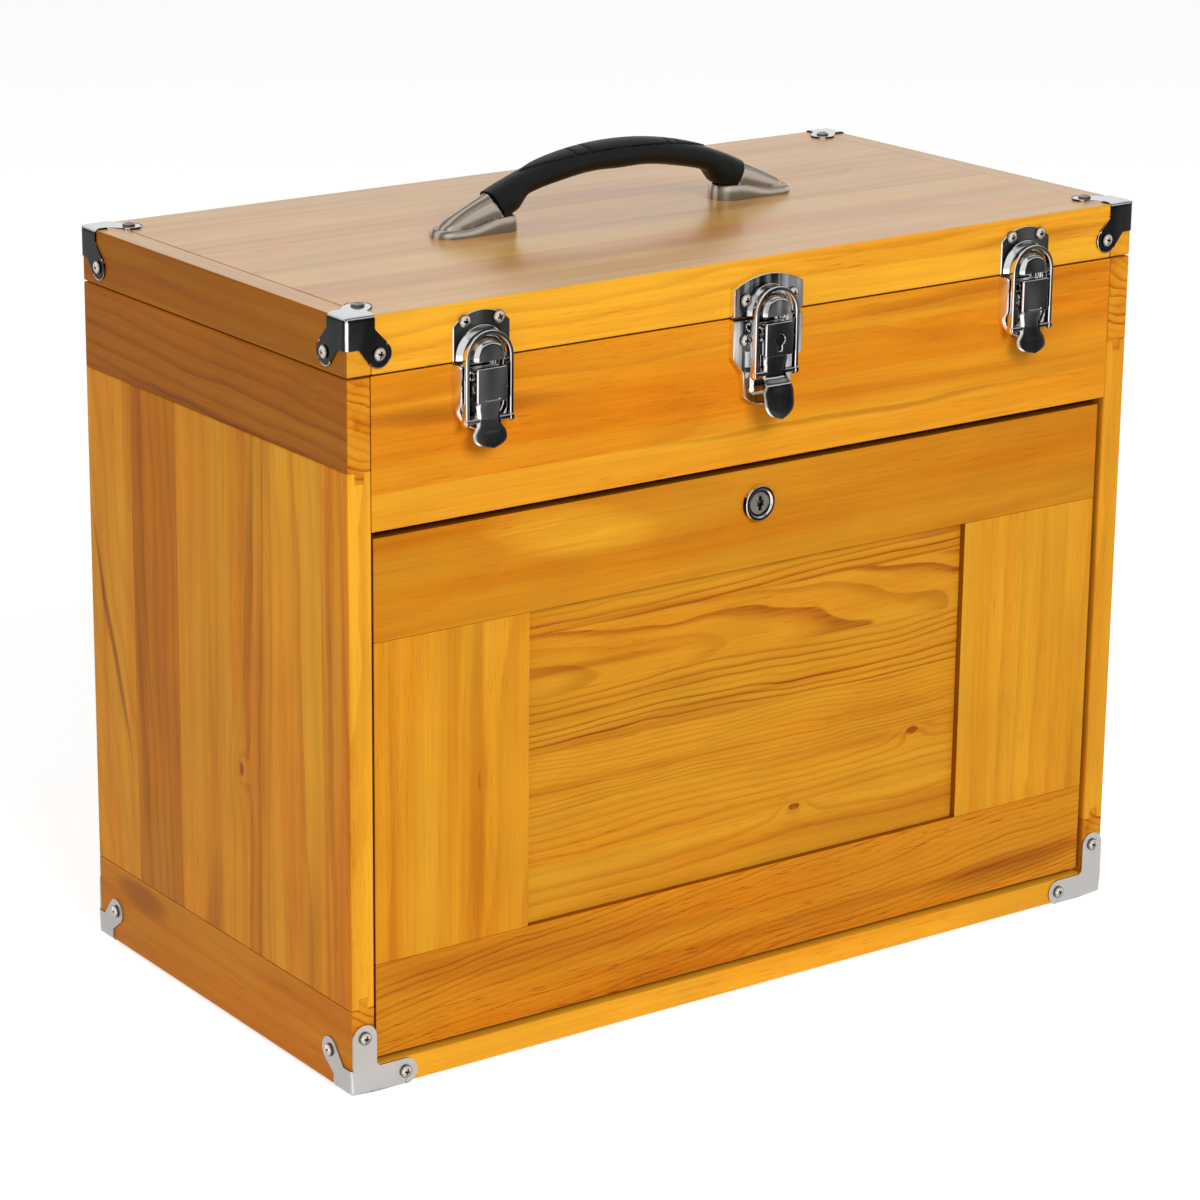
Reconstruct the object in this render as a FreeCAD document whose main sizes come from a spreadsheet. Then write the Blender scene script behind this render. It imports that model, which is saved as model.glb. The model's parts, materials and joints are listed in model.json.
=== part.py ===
import FreeCAD, Part
import math
import os
import re
import Sketcher

# Wooden machinist toolbox: planked case, hinged lid, drop front, eight drawers, chromed hardware.
# Millimetres. X runs to the right, the front faces -Y, Z is up. The origin is the middle of the
# case's underside; the corner brackets stand one plate thickness below it.

SIZES = (
    ("case_width", 510, "case across the sides"),
    ("case_depth", 265, "case front to back"),
    ("case_height", 405, "case with the lid shut"),
    ("lid_height", 30, "lid's share of the height"),
    ("seam_gap", 0.6, "gap between lid and case"),
    ("side_thickness", 14, "side planks and cleats"),
    ("top_cleat_height", 47, "cross cleat at a side's top"),
    ("bottom_cleat_height", 45.5, "cross cleat at a side's bottom"),
    ("cleat_tongue_length", 6.5, "tongue that a cleat sets into the planks"),
    ("cleat_tongue_thickness", 5.5, "tongue across the side"),
    ("side_plank_width", 48, "upright plank in a side"),
    ("base_thickness", 13.5, "base board, which shows under the front"),
    ("back_thickness", 10, "back panel"),
    ("till_front_height", 79, "board above the drop front"),
    ("till_front_thickness", 14, "board above the drop front"),
    ("till_floor_rise", 7, "till floor above the lower edge of that board"),
    ("till_floor_thickness", 6, "till floor"),
    ("slot_height", 16.5, "slot under the drawers where the front is stowed"),
    ("deck_thickness", 5, "board over that slot"),
    ("bottom_bay_height", 54, "opening for the full-width drawer"),
    ("shelf_thickness", 6, "full-width shelf over that drawer"),
    ("small_shelf_thickness", 5, "shelves between the small drawers"),
    ("partition_thickness", 8, "uprights between the columns of drawers"),
    ("middle_bay_width", 170, "opening for the tall middle drawer"),
    ("drawer_setback", 32, "drawer fronts behind the case front"),
    ("drawer_side_clearance", 0.8, "each side of a drawer"),
    ("drawer_top_clearance", 1.5, "over a drawer"),
    ("drawer_lift", 0.3, "under a drawer"),
    ("drawer_tail_gap", 4, "behind a drawer"),
    ("drawer_front_thickness", 10, "drawer front"),
    ("drawer_wall_thickness", 7, "drawer sides and back"),
    ("drawer_floor_thickness", 4, "drawer bottom"),
    ("drawer_wall_drop", 5, "drawer sides below the top of the front"),
    ("knob_radius", 7, "drawer knob"),
    ("knob_reach", 13.5, "knob in front of the drawer"),
    ("knob_foot_radius", 4.5, "knob where it meets the drawer"),
    ("knob_neck_radius", 3.2, "knob's narrowest place"),
    ("knob_cap_height", 5, "thick end of a knob"),
    ("knob_crown", 2.5, "rounded part of a knob's end"),
    ("knob_spread", 120, "each knob of the wide drawer from the middle"),
    ("front_gap_side", 2.2, "drop front to the case side"),
    ("front_gap_bottom", 3, "drop front to the base board"),
    ("front_gap_top", 4, "drop front to the board above"),
    ("front_setback", 2.2, "drop front behind the case front"),
    ("front_thickness", 12.5, "drop front's frame"),
    ("front_top_rail", 54, "drop front's top rail, top to bottom"),
    ("front_bottom_rail", 50.5, "drop front's bottom rail, top to bottom"),
    ("front_stile", 94, "drop front's stiles, side to side"),
    ("field_recess", 4, "centre panel behind the frame's face"),
    ("field_thickness", 5, "centre panel"),
    ("groove_depth", 6, "grooves that hold the centre panel"),
    ("groove_play", 0.1, "each face of the centre panel in its groove"),
    ("front_pin_radius", 2.5, "pins that the front turns on"),
    ("front_pin_height", 6, "pin axis above the front's lower edge"),
    ("front_pin_in_wood", 12, "length of a pin inside the front"),
    ("front_pin_in_side", 7.8, "length of a pin inside the case side"),
    ("running_clearance", 0.05, "radial play of a pin that turns"),
    ("lock_drop", 19, "lock centre below the front's top edge"),
    ("lock_barrel_radius", 8, "lock body through the rail"),
    ("lock_ring_radius", 9.7, "lock's outer ring"),
    ("lock_ring_height", 3, "ring in front of the rail"),
    ("lock_plug_radius", 6, "turning plug"),
    ("lock_plug_recess", 0.8, "plug face behind the ring"),
    ("lock_nut_radius", 11, "nut behind the rail, across corners"),
    ("lock_nut_height", 3, "nut behind the rail"),
    ("keyway_width", 1.6, "slit in the plug"),
    ("keyway_height", 7, "slit in the plug"),
    ("keyway_length", 9, "slit in the plug, front to back"),
    ("lock_end", 1, "lock body behind its nut"),
    ("cam_gap", 0.3, "lock body to the cam"),
    ("cam_length", 28, "cam's tip from the plug's axis"),
    ("cam_width", 9, "cam plate"),
    ("cam_thickness", 2, "cam plate"),
    ("top_panel_thickness", 9, "planked lid top"),
    ("lid_plank_width", 30, "plank of the lid top"),
    ("lid_rail_thickness", 14, "lid's front and back rails"),
    ("lid_side_thickness", 14.6, "lid's side rails"),
    ("felt_thickness", 1.5, "felt in the till and the lid"),
    ("felt_margin", 1, "felt to the walls"),
    ("plate_gauge", 1, "sheet metal of brackets, catches and hinges"),
    ("bracket_wrap", 16, "corner bracket along each edge"),
    ("bracket_notch", 6.8, "edge of the case to the notch before a lobe"),
    ("lobe_radius", 7.1, "round end of a bracket's arm"),
    ("top_lobe_reach", 18.4, "lobe centre from the lid's side"),
    ("top_lobe_drop", 19.4, "lobe centre from the lid's top"),
    ("foot_wrap", 13.4, "bottom bracket up the corner"),
    ("foot_arm_height", 30.2, "upright arm's end centre above the underside"),
    ("foot_arm_inset", 0.4, "upright arm from the case's side"),
    ("foot_arm_fillet", 1.8, "corner between a bottom bracket's two arms"),
    ("foot_arm_length", 32, "level arm's end centre from the side"),
    ("foot_lobe_reach", 19.9, "side lobe centre from the front"),
    ("foot_lobe_height", 18.5, "side lobe centre above the underside"),
    ("screw_head_radius", 3.5, "round screw heads"),
    ("screw_head_height", 2.2, "round screw heads"),
    ("screw_shank_radius", 1.6, "screws in the wood"),
    ("screw_length", 8, "screws under the head"),
    ("hinge_inset", 105, "middle of each hinge from the case's side"),
    ("hinge_width", 60, "hinge along the seam"),
    ("hinge_leaf_height", 20, "leaf up or down from the seam"),
    ("hinge_gauge", 1.2, "hinge leaves"),
    ("hinge_screw_rise", 11, "outer hinge screws from the seam"),
    ("hinge_screw_stagger", 3, "middle hinge screw beyond the outer ones"),
    ("knuckle_radius", 3.1, "hinge barrel"),
    ("knuckle_standoff", 0.3, "hinge barrel behind the case"),
    ("hinge_pin_radius", 1.5, "hinge pin"),
    ("knuckle_gap", 0.3, "between knuckles, along and around them"),
    ("latch_inset", 78, "middle of each outer latch from the case's side"),
    ("catch_width", 34, "outer catch plate"),
    ("catch_shoulder", 18.3, "outer catch plate's straight side above the seam"),
    ("catch_rise", 25.4, "outer catch plate's top above the seam"),
    ("catch_lip", 0.5, "catch plates' lower edge above the seam"),
    ("catch_screw_reach", 10.1, "outer catch screws from its middle"),
    ("catch_screw_rise", 20.4, "outer catch screws above the seam"),
    ("mid_catch_width", 45.5, "centre catch plate"),
    ("mid_catch_shoulder", 15.7, "centre catch plate's straight side above the seam"),
    ("mid_catch_rise", 22.3, "centre catch plate's top above the seam"),
    ("mid_catch_screw_reach", 15.3, "centre catch screws from its middle"),
    ("mid_catch_screw_rise", 9.5, "centre catch screws above the seam"),
    ("mid_plate_gauge", 3.8, "centre latch's raised plates"),
    ("dome_radius", 15.3, "broad dome on an outer catch plate"),
    ("mid_dome_radius", 13.2, "broad dome on the centre catch plate"),
    ("dome_height", 4.7, "broad dome's front from the wood on an outer latch"),
    ("boss_radius", 10.2, "narrow dome that the loop goes round"),
    ("boss_height", 5.2, "narrow dome's front from the wood on an outer latch"),
    ("boss_rise", 2, "domes' arch centre above the seam"),
    ("loop_back", 5.5, "back of an outer loop from the wood"),
    ("loop_depth", 2.7, "loop strip, front to back"),
    ("loop_strip", 2.3, "loop strip, side to side"),
    ("loop_half_width", 14.3, "outside of a loop from its middle"),
    ("loop_eye_radius", 2.6, "round foot of a loop's leg"),
    ("loop_pin_drop", 29.2, "loop's pin below the seam"),
    ("loop_pin_overhang", 0.4, "loop's pin beyond the loop"),
    ("latch_pin_radius", 1.5, "lever and loop pins"),
    ("lever_pin_drop", 6.5, "lever's pin below the seam"),
    ("lever_pin_depth", 6, "lever's pin from the wood"),
    ("mid_lever_offset", 2.5, "centre lever and loop further out than the outer ones"),
    ("lever_half_width", 7.8, "outside of a lever's box from its middle"),
    ("lever_front", 11.2, "front of a lever's box from the wood"),
    ("lever_back", 3.5, "back of a lever's box from the wood"),
    ("lever_corner", 1.5, "rounded front corners of a lever's box"),
    ("lever_top_drop", 2.5, "top of a lever's box below the seam"),
    ("lever_box_drop", 20, "bottom of a lever's box below the seam"),
    ("cheek_drop", 32, "bottom of a lever's cheeks below the seam"),
    ("tongue_step", 2, "tongue behind the front of the box"),
    ("tongue_half_width", 7.1, "neck of the thumb tongue"),
    ("tongue_bend_drop", 33, "where the tongue turns outwards below the seam"),
    ("flare_half_width", 9.1, "widest place of an outer tongue"),
    ("flare_drop", 36.5, "widest place of an outer tongue below the seam"),
    ("tip_drop", 42.7, "tip of an outer tongue below the seam"),
    ("tip_reach", 3.3, "tip of an outer tongue in front of its neck"),
    ("mid_flare_half_width", 9.7, "widest place of the centre tongue"),
    ("mid_flare_drop", 42.5, "widest place of the centre tongue below the seam"),
    ("mid_tip_drop", 52.7, "tip of the centre tongue below the seam"),
    ("mid_tip_reach", 5.4, "tip of the centre tongue in front of its neck"),
    ("keyhole_radius", 3, "keyhole's round part"),
    ("keyhole_drop", 11.4, "keyhole centre below the seam"),
    ("keyhole_slit_width", 2.6, "keyhole's slit"),
    ("keyhole_slit_length", 6.2, "keyhole's slit below its centre"),
    ("bolt_plate_height", 6.5, "lock bolt inside the centre lever"),
    ("bolt_plate_thickness", 2.5, "lock bolt inside the centre lever"),
    ("bolt_play", 0.3, "lock bolt to the lever's walls"),
    ("ear_gap", 0.3, "lever to the ears that hold its pin"),
    ("ear_thickness", 1.2, "ears on a latch base"),
    ("ear_half_height", 3.5, "ears above and below the pin"),
    ("ear_front", 8.5, "front of the ears from the wood"),
    ("tray_wall_height", 6.5, "outer latch base's side walls from the wood"),
    ("tray_rim_height", 3.5, "outer latch base's round rim from the wood"),
    ("tray_straight", 19.5, "outer latch base's straight side"),
    ("tray_screw_reach", 11.8, "outer base screws from its middle"),
    ("tray_screw_drop", 14.5, "outer base screws below the seam"),
    ("mid_base_shoulder", 21, "centre latch base's wide part below the seam"),
    ("mid_base_waist_drop", 29, "where the centre base gets narrow"),
    ("mid_base_waist", 16.5, "narrow part's half width, upper end"),
    ("mid_base_foot", 15, "narrow part's half width, lower end"),
    ("mid_base_foot_drop", 42.5, "narrow part's lower corners below the seam"),
    ("mid_base_drop", 48, "centre latch base's lowest place below the seam"),
    ("mid_base_screw_reach", 15, "centre base screws from its middle"),
    ("mid_base_screw_drop", 11.5, "centre base screws below the seam"),
    ("base_lip", 0.5, "latch bases' upper edge below the seam"),
    ("grip_rise", 41, "handle's top above the lid"),
    ("grip_radius", 195, "curve of the handle's top"),
    ("grip_thickness", 15, "grip, top to bottom"),
    ("grip_width", 20, "grip, front to back"),
    ("grip_corner", 5, "bevel along the grip"),
    ("grip_half_span", 84, "end of the grip's top from the middle"),
    ("handle_half_length", 118, "tip of an end bracket from the middle"),
    ("handle_foot_inner", 66, "inner end of an end bracket from the middle"),
    ("handle_foot_width", 21, "end bracket, front to back"),
    ("handle_toe_height", 4.5, "end bracket at its tip"),
    ("handle_heel_height", 7, "end bracket at its inner end"),
    ("handle_bolt_radius", 2.5, "bolts up into the end brackets"),
    ("handle_bolt_head", 4.5, "bolt heads under the lid top"),
    ("handle_bolt_head_height", 3, "bolt heads under the lid top"),
    ("handle_bolt_grip", 4, "bolt inside an end bracket"),
    ("outer_bolt_distance", 103, "outer handle bolts from the middle"),
    ("inner_bolt_distance", 80, "inner handle bolts from the middle"),
)

ALIASES = {alias for alias, _, _ in SIZES}

HALF_WIDTH = "(case_width / 2)"
FRONT = "(-case_depth / 2)"
BACK = "(case_depth / 2)"
SEAM = "(case_height - lid_height)"
INNER = "(case_width / 2 - side_thickness)"
BACK_INNER = "(case_depth / 2 - back_thickness)"
CASE_TOP = f"({SEAM} - seam_gap / 2)"
LID_BOTTOM = f"({SEAM} + seam_gap / 2)"
TILL_BOARD_BOTTOM = f"({SEAM} - till_front_height)"
TILL_FLOOR_BOTTOM = f"({TILL_BOARD_BOTTOM} + till_floor_rise)"
DECK_BOTTOM = "(base_thickness + slot_height)"
BOTTOM_BAY_FLOOR = f"({DECK_BOTTOM} + deck_thickness)"
BOTTOM_BAY_TOP = f"({BOTTOM_BAY_FLOOR} + bottom_bay_height)"
COLUMN_FLOOR = f"({BOTTOM_BAY_TOP} + shelf_thickness)"
DRAWER_FACE = f"({FRONT} + drawer_setback)"
MIDDLE_HALF = "(middle_bay_width / 2)"
PARTITION_OUT = "(middle_bay_width / 2 + partition_thickness)"
ROWS = ("lower", "middle", "upper")
ROW_HEIGHT = (f"(({TILL_BOARD_BOTTOM} - {COLUMN_FLOOR} - {len(ROWS) - 1} * small_shelf_thickness)"
              f" / {len(ROWS)})")
FRONT_FACE = f"({FRONT} + front_setback)"
FRONT_REAR = f"({FRONT_FACE} + front_thickness)"
FRONT_EDGE = f"({INNER} - front_gap_side)"
FRONT_BOTTOM = "(base_thickness + front_gap_bottom)"
FRONT_TOP = f"({TILL_BOARD_BOTTOM} - front_gap_top)"
PIN_Y = f"({FRONT_FACE} + front_thickness / 2)"
PIN_Z = f"({FRONT_BOTTOM} + front_pin_height)"
LOCK_Z = f"({FRONT_TOP} - lock_drop)"
HINGE_X = f"(hinge_inset - {HALF_WIDTH})"
HINGE_Y = f"({BACK} + knuckle_radius + knuckle_standoff)"
LID_INNER = "(case_width / 2 - lid_side_thickness)"
TOP_PANEL_BOTTOM = "(case_height - top_panel_thickness)"
GRIP_CENTRE_Z = "(case_height + grip_rise - grip_radius)"

doc = FreeCAD.newDocument("MachinistToolbox")
sheet = doc.addObject("Spreadsheet::Sheet", "Sizes")
for row, (alias, value, meaning) in enumerate(SIZES, start=1):
    sheet.set(f"A{row}", meaning)
    sheet.set(f"B{row}", str(value))
    sheet.setAlias(f"B{row}", alias)
doc.recompute()

nodes = []


def formula(text):
    """A formula with each size's name turned into a reference to its cell."""
    return re.sub(r"[a-z_]+", refer, text)


def refer(word):
    return f"Sizes.{word.group()}" if word.group() in ALIASES else word.group()


def number(text):
    """The value that a formula has now."""
    return float(sheet.evalExpression(formula(text)))


def bind(item, prop, text):
    item.setExpression(prop, formula(text))


def node(item, label):
    """Keep a finished sub-part under its own name."""
    item.Label = label
    nodes.append(item)
    return item


# Basic shapes, each bound to formulas


def board(name, x, y, z):
    """A rectangular piece between two planes along each axis."""
    box = doc.addObject("Part::Box", name)
    for side, place, (low, high) in (("Length", "x", x), ("Width", "y", y), ("Height", "z", z)):
        bind(box, side, f"{high} - ({low})")
        bind(box, f"Placement.Base.{place}", low)
    return box


TURNS = {
    "x": FreeCAD.Rotation(FreeCAD.Vector(0, 1, 0), 90),
    "y": FreeCAD.Rotation(FreeCAD.Vector(1, 0, 0), -90),
    "z": FreeCAD.Rotation(),
}


def rod(name, axis, radius, place, low, high):
    """A cylinder along an axis from low to high; place gives its other two coordinates in order."""
    cylinder = doc.addObject("Part::Cylinder", name)
    cylinder.Placement = FreeCAD.Placement(FreeCAD.Vector(), TURNS[axis])
    bind(cylinder, "Radius", radius)
    bind(cylinder, "Height", f"{high} - ({low})")
    bind(cylinder, f"Placement.Base.{axis}", low)
    for other, text in zip([letter for letter in "xyz" if letter != axis], place):
        bind(cylinder, f"Placement.Base.{other}", text)
    return cylinder


def draw_outline(sketch, points):
    """Close a fully placed outline. A point is (u, v), or (u, v, (mid_u, mid_v)) where an arc through
    that middle leads to the next point."""
    corners = [FreeCAD.Vector(number(point[0]), number(point[1]), 0) for point in points]
    edges = []
    for index, point in enumerate(points):
        start, end = corners[index], corners[(index + 1) % len(points)]
        if len(point) == 3:
            middle = FreeCAD.Vector(number(point[2][0]), number(point[2][1]), 0)
            edge = sketch.addGeometry(Part.Arc(start, middle, end), False)
            forward = sketch.getPoint(edge, 1).distanceToPoint(start) < 1e-6
            edges.append((edge, 1 if forward else 2, 2 if forward else 1))
        else:
            edges.append((sketch.addGeometry(Part.LineSegment(start, end), False), 1, 2))
    for index, (edge, first, last) in enumerate(edges):
        following, following_first, _ = edges[(index + 1) % len(edges)]
        sketch.addConstraint(Sketcher.Constraint("Coincident", edge, last, following, following_first))
    for (edge, first, _), point in zip(edges, points):
        pin_down(sketch, edge, first, point[0], point[1])
        if len(point) == 3:
            middle = FreeCAD.Vector(number(point[2][0]), number(point[2][1]), 0)
            dot = sketch.addGeometry(Part.Point(middle), True)
            pin_down(sketch, dot, 1, *point[2])
            sketch.addConstraint(Sketcher.Constraint("PointOnObject", dot, 1, edge))


def pin_down(sketch, geometry, vertex, u, v):
    """Bind a sketch point's distances from the sketch's origin."""
    for kind, text in (("DistanceX", u), ("DistanceY", v)):
        constraint = Sketcher.Constraint(kind, -1, 1, geometry, vertex, number(text))
        bind(sketch, f"Constraints[{sketch.addConstraint(constraint)}]", text)


PLANES = {
    "xz": (FreeCAD.Rotation(FreeCAD.Vector(1, 0, 0), 90), "y"),
    "yz": (FreeCAD.Rotation(FreeCAD.Vector(1, 1, 1), 120), "x"),
    "xy": (FreeCAD.Rotation(), "z"),
}


def plate(name, plane, points, low, high):
    """An outline in a plane, thickened from low to high along the third axis."""
    turn, axis = PLANES[plane]
    sketch = doc.addObject("Sketcher::SketchObject", f"{name}_outline")
    sketch.Placement = FreeCAD.Placement(FreeCAD.Vector(), turn)
    bind(sketch, f"Placement.Base.{axis}", high if plane == "xz" else low)
    draw_outline(sketch, points)
    solid = doc.addObject("Part::Extrusion", name)
    solid.Base = sketch
    solid.DirMode = "Normal"
    solid.Solid = True
    bind(solid, "LengthFwd", f"{high} - ({low})")
    return solid


def turned(name, points, sweep="360"):
    """A body turned about its own Z axis from an outline of (radius, height) points. Less than a
    full turn is swept evenly to both sides of its own X axis."""
    body = doc.addObject("PartDesign::Body", name)
    sketch = body.newObject("Sketcher::SketchObject", f"{name}_profile")
    origin_plane = [item for item in body.Origin.OriginFeatures if item.Role == "XZ_Plane"][0]
    sketch.AttachmentSupport = (origin_plane, [""])
    sketch.MapMode = "FlatFace"
    draw_outline(sketch, points)
    turn = body.newObject("PartDesign::Revolution", f"{name}_turn")
    turn.Profile = sketch
    turn.ReferenceAxis = (sketch, ["V_Axis"])
    turn.Midplane = True
    bind(turn, "Angle", sweep)
    body.Tip = turn
    return body


FACING = {
    "front": FreeCAD.Rotation(FreeCAD.Vector(1, 0, 0), 90),
    "back": FreeCAD.Rotation(FreeCAD.Vector(1, 0, 0), -90),
    "left": FreeCAD.Rotation(FreeCAD.Vector(0, 1, 0), -90),
    "right": FreeCAD.Rotation(FreeCAD.Vector(0, 1, 0), 90),
    "up": FreeCAD.Rotation(),
    "arched": FreeCAD.Rotation(FreeCAD.Vector(1, 1, 1), 240),
}


def place(item, facing, x, y, z):
    """Turn a body's own Z axis to a side of the case and set its foot at a point."""
    item.Placement = FreeCAD.Placement(FreeCAD.Vector(), FACING[facing])
    for letter, text in zip("xyz", (x, y, z)):
        bind(item, f"Placement.Base.{letter}", text)
    return item


def group(name, parts):
    compound = doc.addObject("Part::Compound", name)
    compound.Links = parts
    return compound


def fuse(name, parts):
    union = doc.addObject("Part::MultiFuse", name)
    union.Shapes = parts
    return union


def cut(name, base, tool):
    difference = doc.addObject("Part::Cut", name)
    difference.Base = base
    difference.Tool = tool
    return difference


def common(name, base, tool):
    overlap = doc.addObject("Part::Common", name)
    overlap.Base = base
    overlap.Tool = tool
    return overlap


def mirrored(name, source, across="x"):
    """The same piece on the other side of the middle plane."""
    mirror = doc.addObject("Part::Mirroring", name)
    mirror.Source = source
    mirror.Base = FreeCAD.Vector()
    mirror.Normal = FreeCAD.Vector(1, 0, 0) if across == "x" else FreeCAD.Vector(0, 1, 0)
    return mirror


def both_sides(name, source):
    return group(name, [source, mirrored(f"{name}_mirror", source)])


def four_corners(name, source):
    pair = both_sides(f"{name}_pair", source)
    return group(name, [pair, mirrored(f"{name}_rear", pair, "y")])


# Screws: where they go, what they are, and the holes they sit in


def mirror_places(places, axes):
    """Screw places repeated on the other side of each named axis."""
    opposite = {"left": "right", "right": "left", "front": "back", "back": "front"}
    for axis in axes:
        sides = ("left", "right") if axis == "x" else ("front", "back")
        places = places + [
            (opposite[facing] if facing in sides else facing,
             f"(-{x})" if axis == "x" else x,
             f"(-{y})" if axis == "y" else y,
             z)
            for facing, x, y, z in places]
    return places


def screws(name, places):
    """Round-headed screws, each with its head's flat on the given point."""
    radius, height = number("screw_head_radius"), number("screw_head_height")
    shank, length = number("screw_shank_radius"), number("screw_length")
    ball = (radius ** 2 + height ** 2) / (2 * height)
    slice_box = Part.makeBox(4 * radius, 4 * radius, height, FreeCAD.Vector(-2 * radius, -2 * radius, 0))
    dome = Part.makeSphere(ball, FreeCAD.Vector(0, 0, height - ball)).common(slice_box)
    screw = dome.fuse(Part.makeCylinder(shank, length, FreeCAD.Vector(0, 0, -length)))
    return copies(name, screw, places)


def screw_holes(name, places):
    """What the same screws need drilled through plates and wood."""
    shank, length = number("screw_shank_radius"), number("screw_length")
    return copies(name, Part.makeCylinder(shank, length, FreeCAD.Vector(0, 0, -length)), places)


def copies(name, shape, places):
    feature = doc.addObject("Part::Feature", name)
    placed = []
    for facing, x, y, z in places:
        one = shape.copy()
        one.Placement = FreeCAD.Placement(FreeCAD.Vector(number(x), number(y), number(z)), FACING[facing])
        placed.append(one)
    feature.Shape = Part.makeCompound(placed)
    return feature


TOP_BRACKET_SCREWS = mirror_places([
    ("front", f"(-{HALF_WIDTH} + top_lobe_reach)", f"({FRONT} - plate_gauge)",
     "(case_height - top_lobe_drop)"),
    ("left", f"(-{HALF_WIDTH} - plate_gauge)", f"({FRONT} + top_lobe_reach)",
     "(case_height - top_lobe_drop)"),
    ("up", f"(-{HALF_WIDTH} + top_lobe_reach)", f"({FRONT} + top_lobe_reach)",
     "(case_height + plate_gauge)"),
], "xy")
FOOT_BRACKET_SCREWS = mirror_places([
    ("front", f"(-{HALF_WIDTH} + foot_arm_inset + lobe_radius)", f"({FRONT} - plate_gauge)",
     "foot_arm_height"),
    ("front", f"(-{HALF_WIDTH} + foot_arm_length)", f"({FRONT} - plate_gauge)",
     "((foot_wrap - plate_gauge) / 2)"),
    ("left", f"(-{HALF_WIDTH} - plate_gauge)", f"({FRONT} + foot_lobe_reach)", "foot_lobe_height"),
], "xy")


def beside_latch(latch, x, gauge, z):
    """A pair of screws left and right of a latch's middle, on a plate of the given gauge."""
    return [("front", f"({latch} {sign} {x})", f"({FRONT} - {gauge})", f"({SEAM} + ({z}))")
            for sign in "-+"]


OUTER = f"(latch_inset - {HALF_WIDTH})"
CATCH_SCREWS = mirror_places(
    beside_latch(OUTER, "catch_screw_reach", "plate_gauge", "catch_screw_rise"), "x")
CATCH_SCREWS = CATCH_SCREWS + beside_latch(
    "0", "mid_catch_screw_reach", "mid_plate_gauge", "mid_catch_screw_rise")
BASE_SCREWS = mirror_places(
    beside_latch(OUTER, "tray_screw_reach", "plate_gauge", "-tray_screw_drop"), "x")
BASE_SCREWS = BASE_SCREWS + beside_latch(
    "0", "mid_base_screw_reach", "mid_plate_gauge", "-mid_base_screw_drop")


def hinge_screws(sign):
    """Three screws in a hinge leaf, up or down from the seam, on both hinges."""
    return mirror_places([
        ("back", f"({HINGE_X} + ({step}) * hinge_width / 3)", f"({BACK} + hinge_gauge)",
         f"({SEAM} {sign} (hinge_screw_rise + {stagger} * hinge_screw_stagger))")
        for step, stagger in ((-1, 0), (0, 1), (1, 0))], "x")


case_screw_places = FOOT_BRACKET_SCREWS + BASE_SCREWS + hinge_screws("-")
lid_screw_places = TOP_BRACKET_SCREWS + CATCH_SCREWS + hinge_screws("+")
node(screws("CaseScrews", case_screw_places), "case_screws")
node(screws("LidScrews", lid_screw_places), "lid_screws")
case_holes = screw_holes("CaseScrewHoles", case_screw_places)
lid_holes = screw_holes("LidScrewHoles", lid_screw_places)


# Case: sides, front board, base, back, floors and the drawer carcass


def side_planks():
    """Upright planks of the left side, grooved at both ends for the cleats' tongues."""
    count = math.ceil(number("case_depth / side_plank_width"))
    tongue_low = f"(-{HALF_WIDTH} + side_thickness / 2 - cleat_tongue_thickness / 2)"
    tongue_high = f"(-{HALF_WIDTH} + side_thickness / 2 + cleat_tongue_thickness / 2)"
    planks = []
    for index in range(count):
        high = f"({BACK} - {index} * side_plank_width)"
        low = f"({high} - side_plank_width)" if index < count - 1 else FRONT
        planks.append(board(f"SidePlank{index + 1}Blank", (f"(-{HALF_WIDTH})", f"(-{INNER})"), (low, high),
                            ("bottom_cleat_height", f"({SEAM} - top_cleat_height)")))
    grooves = [
        board("SideGrooveLow", (tongue_low, tongue_high), (FRONT, BACK),
              ("bottom_cleat_height", "(bottom_cleat_height + cleat_tongue_length)")),
        board("SideGrooveHigh", (tongue_low, tongue_high), (FRONT, BACK),
              (f"({SEAM} - top_cleat_height - cleat_tongue_length)", f"({SEAM} - top_cleat_height)")),
    ]
    tool = group("SideGrooves", grooves)
    return group("SidePlanks", [cut(f"SidePlank{index}", plank, tool)
                                for index, plank in enumerate(planks, start=1)])


def side_cleats():
    """Top and bottom cross cleats of the left side, each with its tongue, and the front's pin hole."""
    x = (f"(-{HALF_WIDTH})", f"(-{INNER})")
    tongue = (f"(-{HALF_WIDTH} + side_thickness / 2 - cleat_tongue_thickness / 2)",
              f"(-{HALF_WIDTH} + side_thickness / 2 + cleat_tongue_thickness / 2)")
    top = fuse("TopCleatBlank", [
        board("TopCleatBoard", x, (FRONT, BACK), (f"({SEAM} - top_cleat_height)", CASE_TOP)),
        board("TopCleatTongue", tongue, (FRONT, BACK),
              (f"({SEAM} - top_cleat_height - cleat_tongue_length)", f"({SEAM} - top_cleat_height)")),
    ])
    bottom = fuse("BottomCleatBlank", [
        board("BottomCleatBoard", x, (FRONT, BACK), ("0", "bottom_cleat_height")),
        board("BottomCleatTongue", tongue, (FRONT, BACK),
              ("bottom_cleat_height", "(bottom_cleat_height + cleat_tongue_length)")),
    ])
    pin_hole = rod("FrontPinHole", "x", "(front_pin_radius + running_clearance)", (PIN_Y, PIN_Z),
                   f"(-{INNER} - front_pin_in_side - running_clearance)", f"(-{INNER})")
    bottom = cut("BottomCleatBored", bottom, pin_hole)
    return group("SideCleats", [cut("TopCleat", top, case_holes), cut("BottomCleat", bottom, case_holes)])


left_planks = node(side_planks(), "left_side_planks")
node(mirrored("RightSidePlanks", left_planks), "right_side_planks")
left_cleats = node(side_cleats(), "left_side_cleats")
node(mirrored("RightSideCleats", left_cleats), "right_side_cleats")

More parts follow.
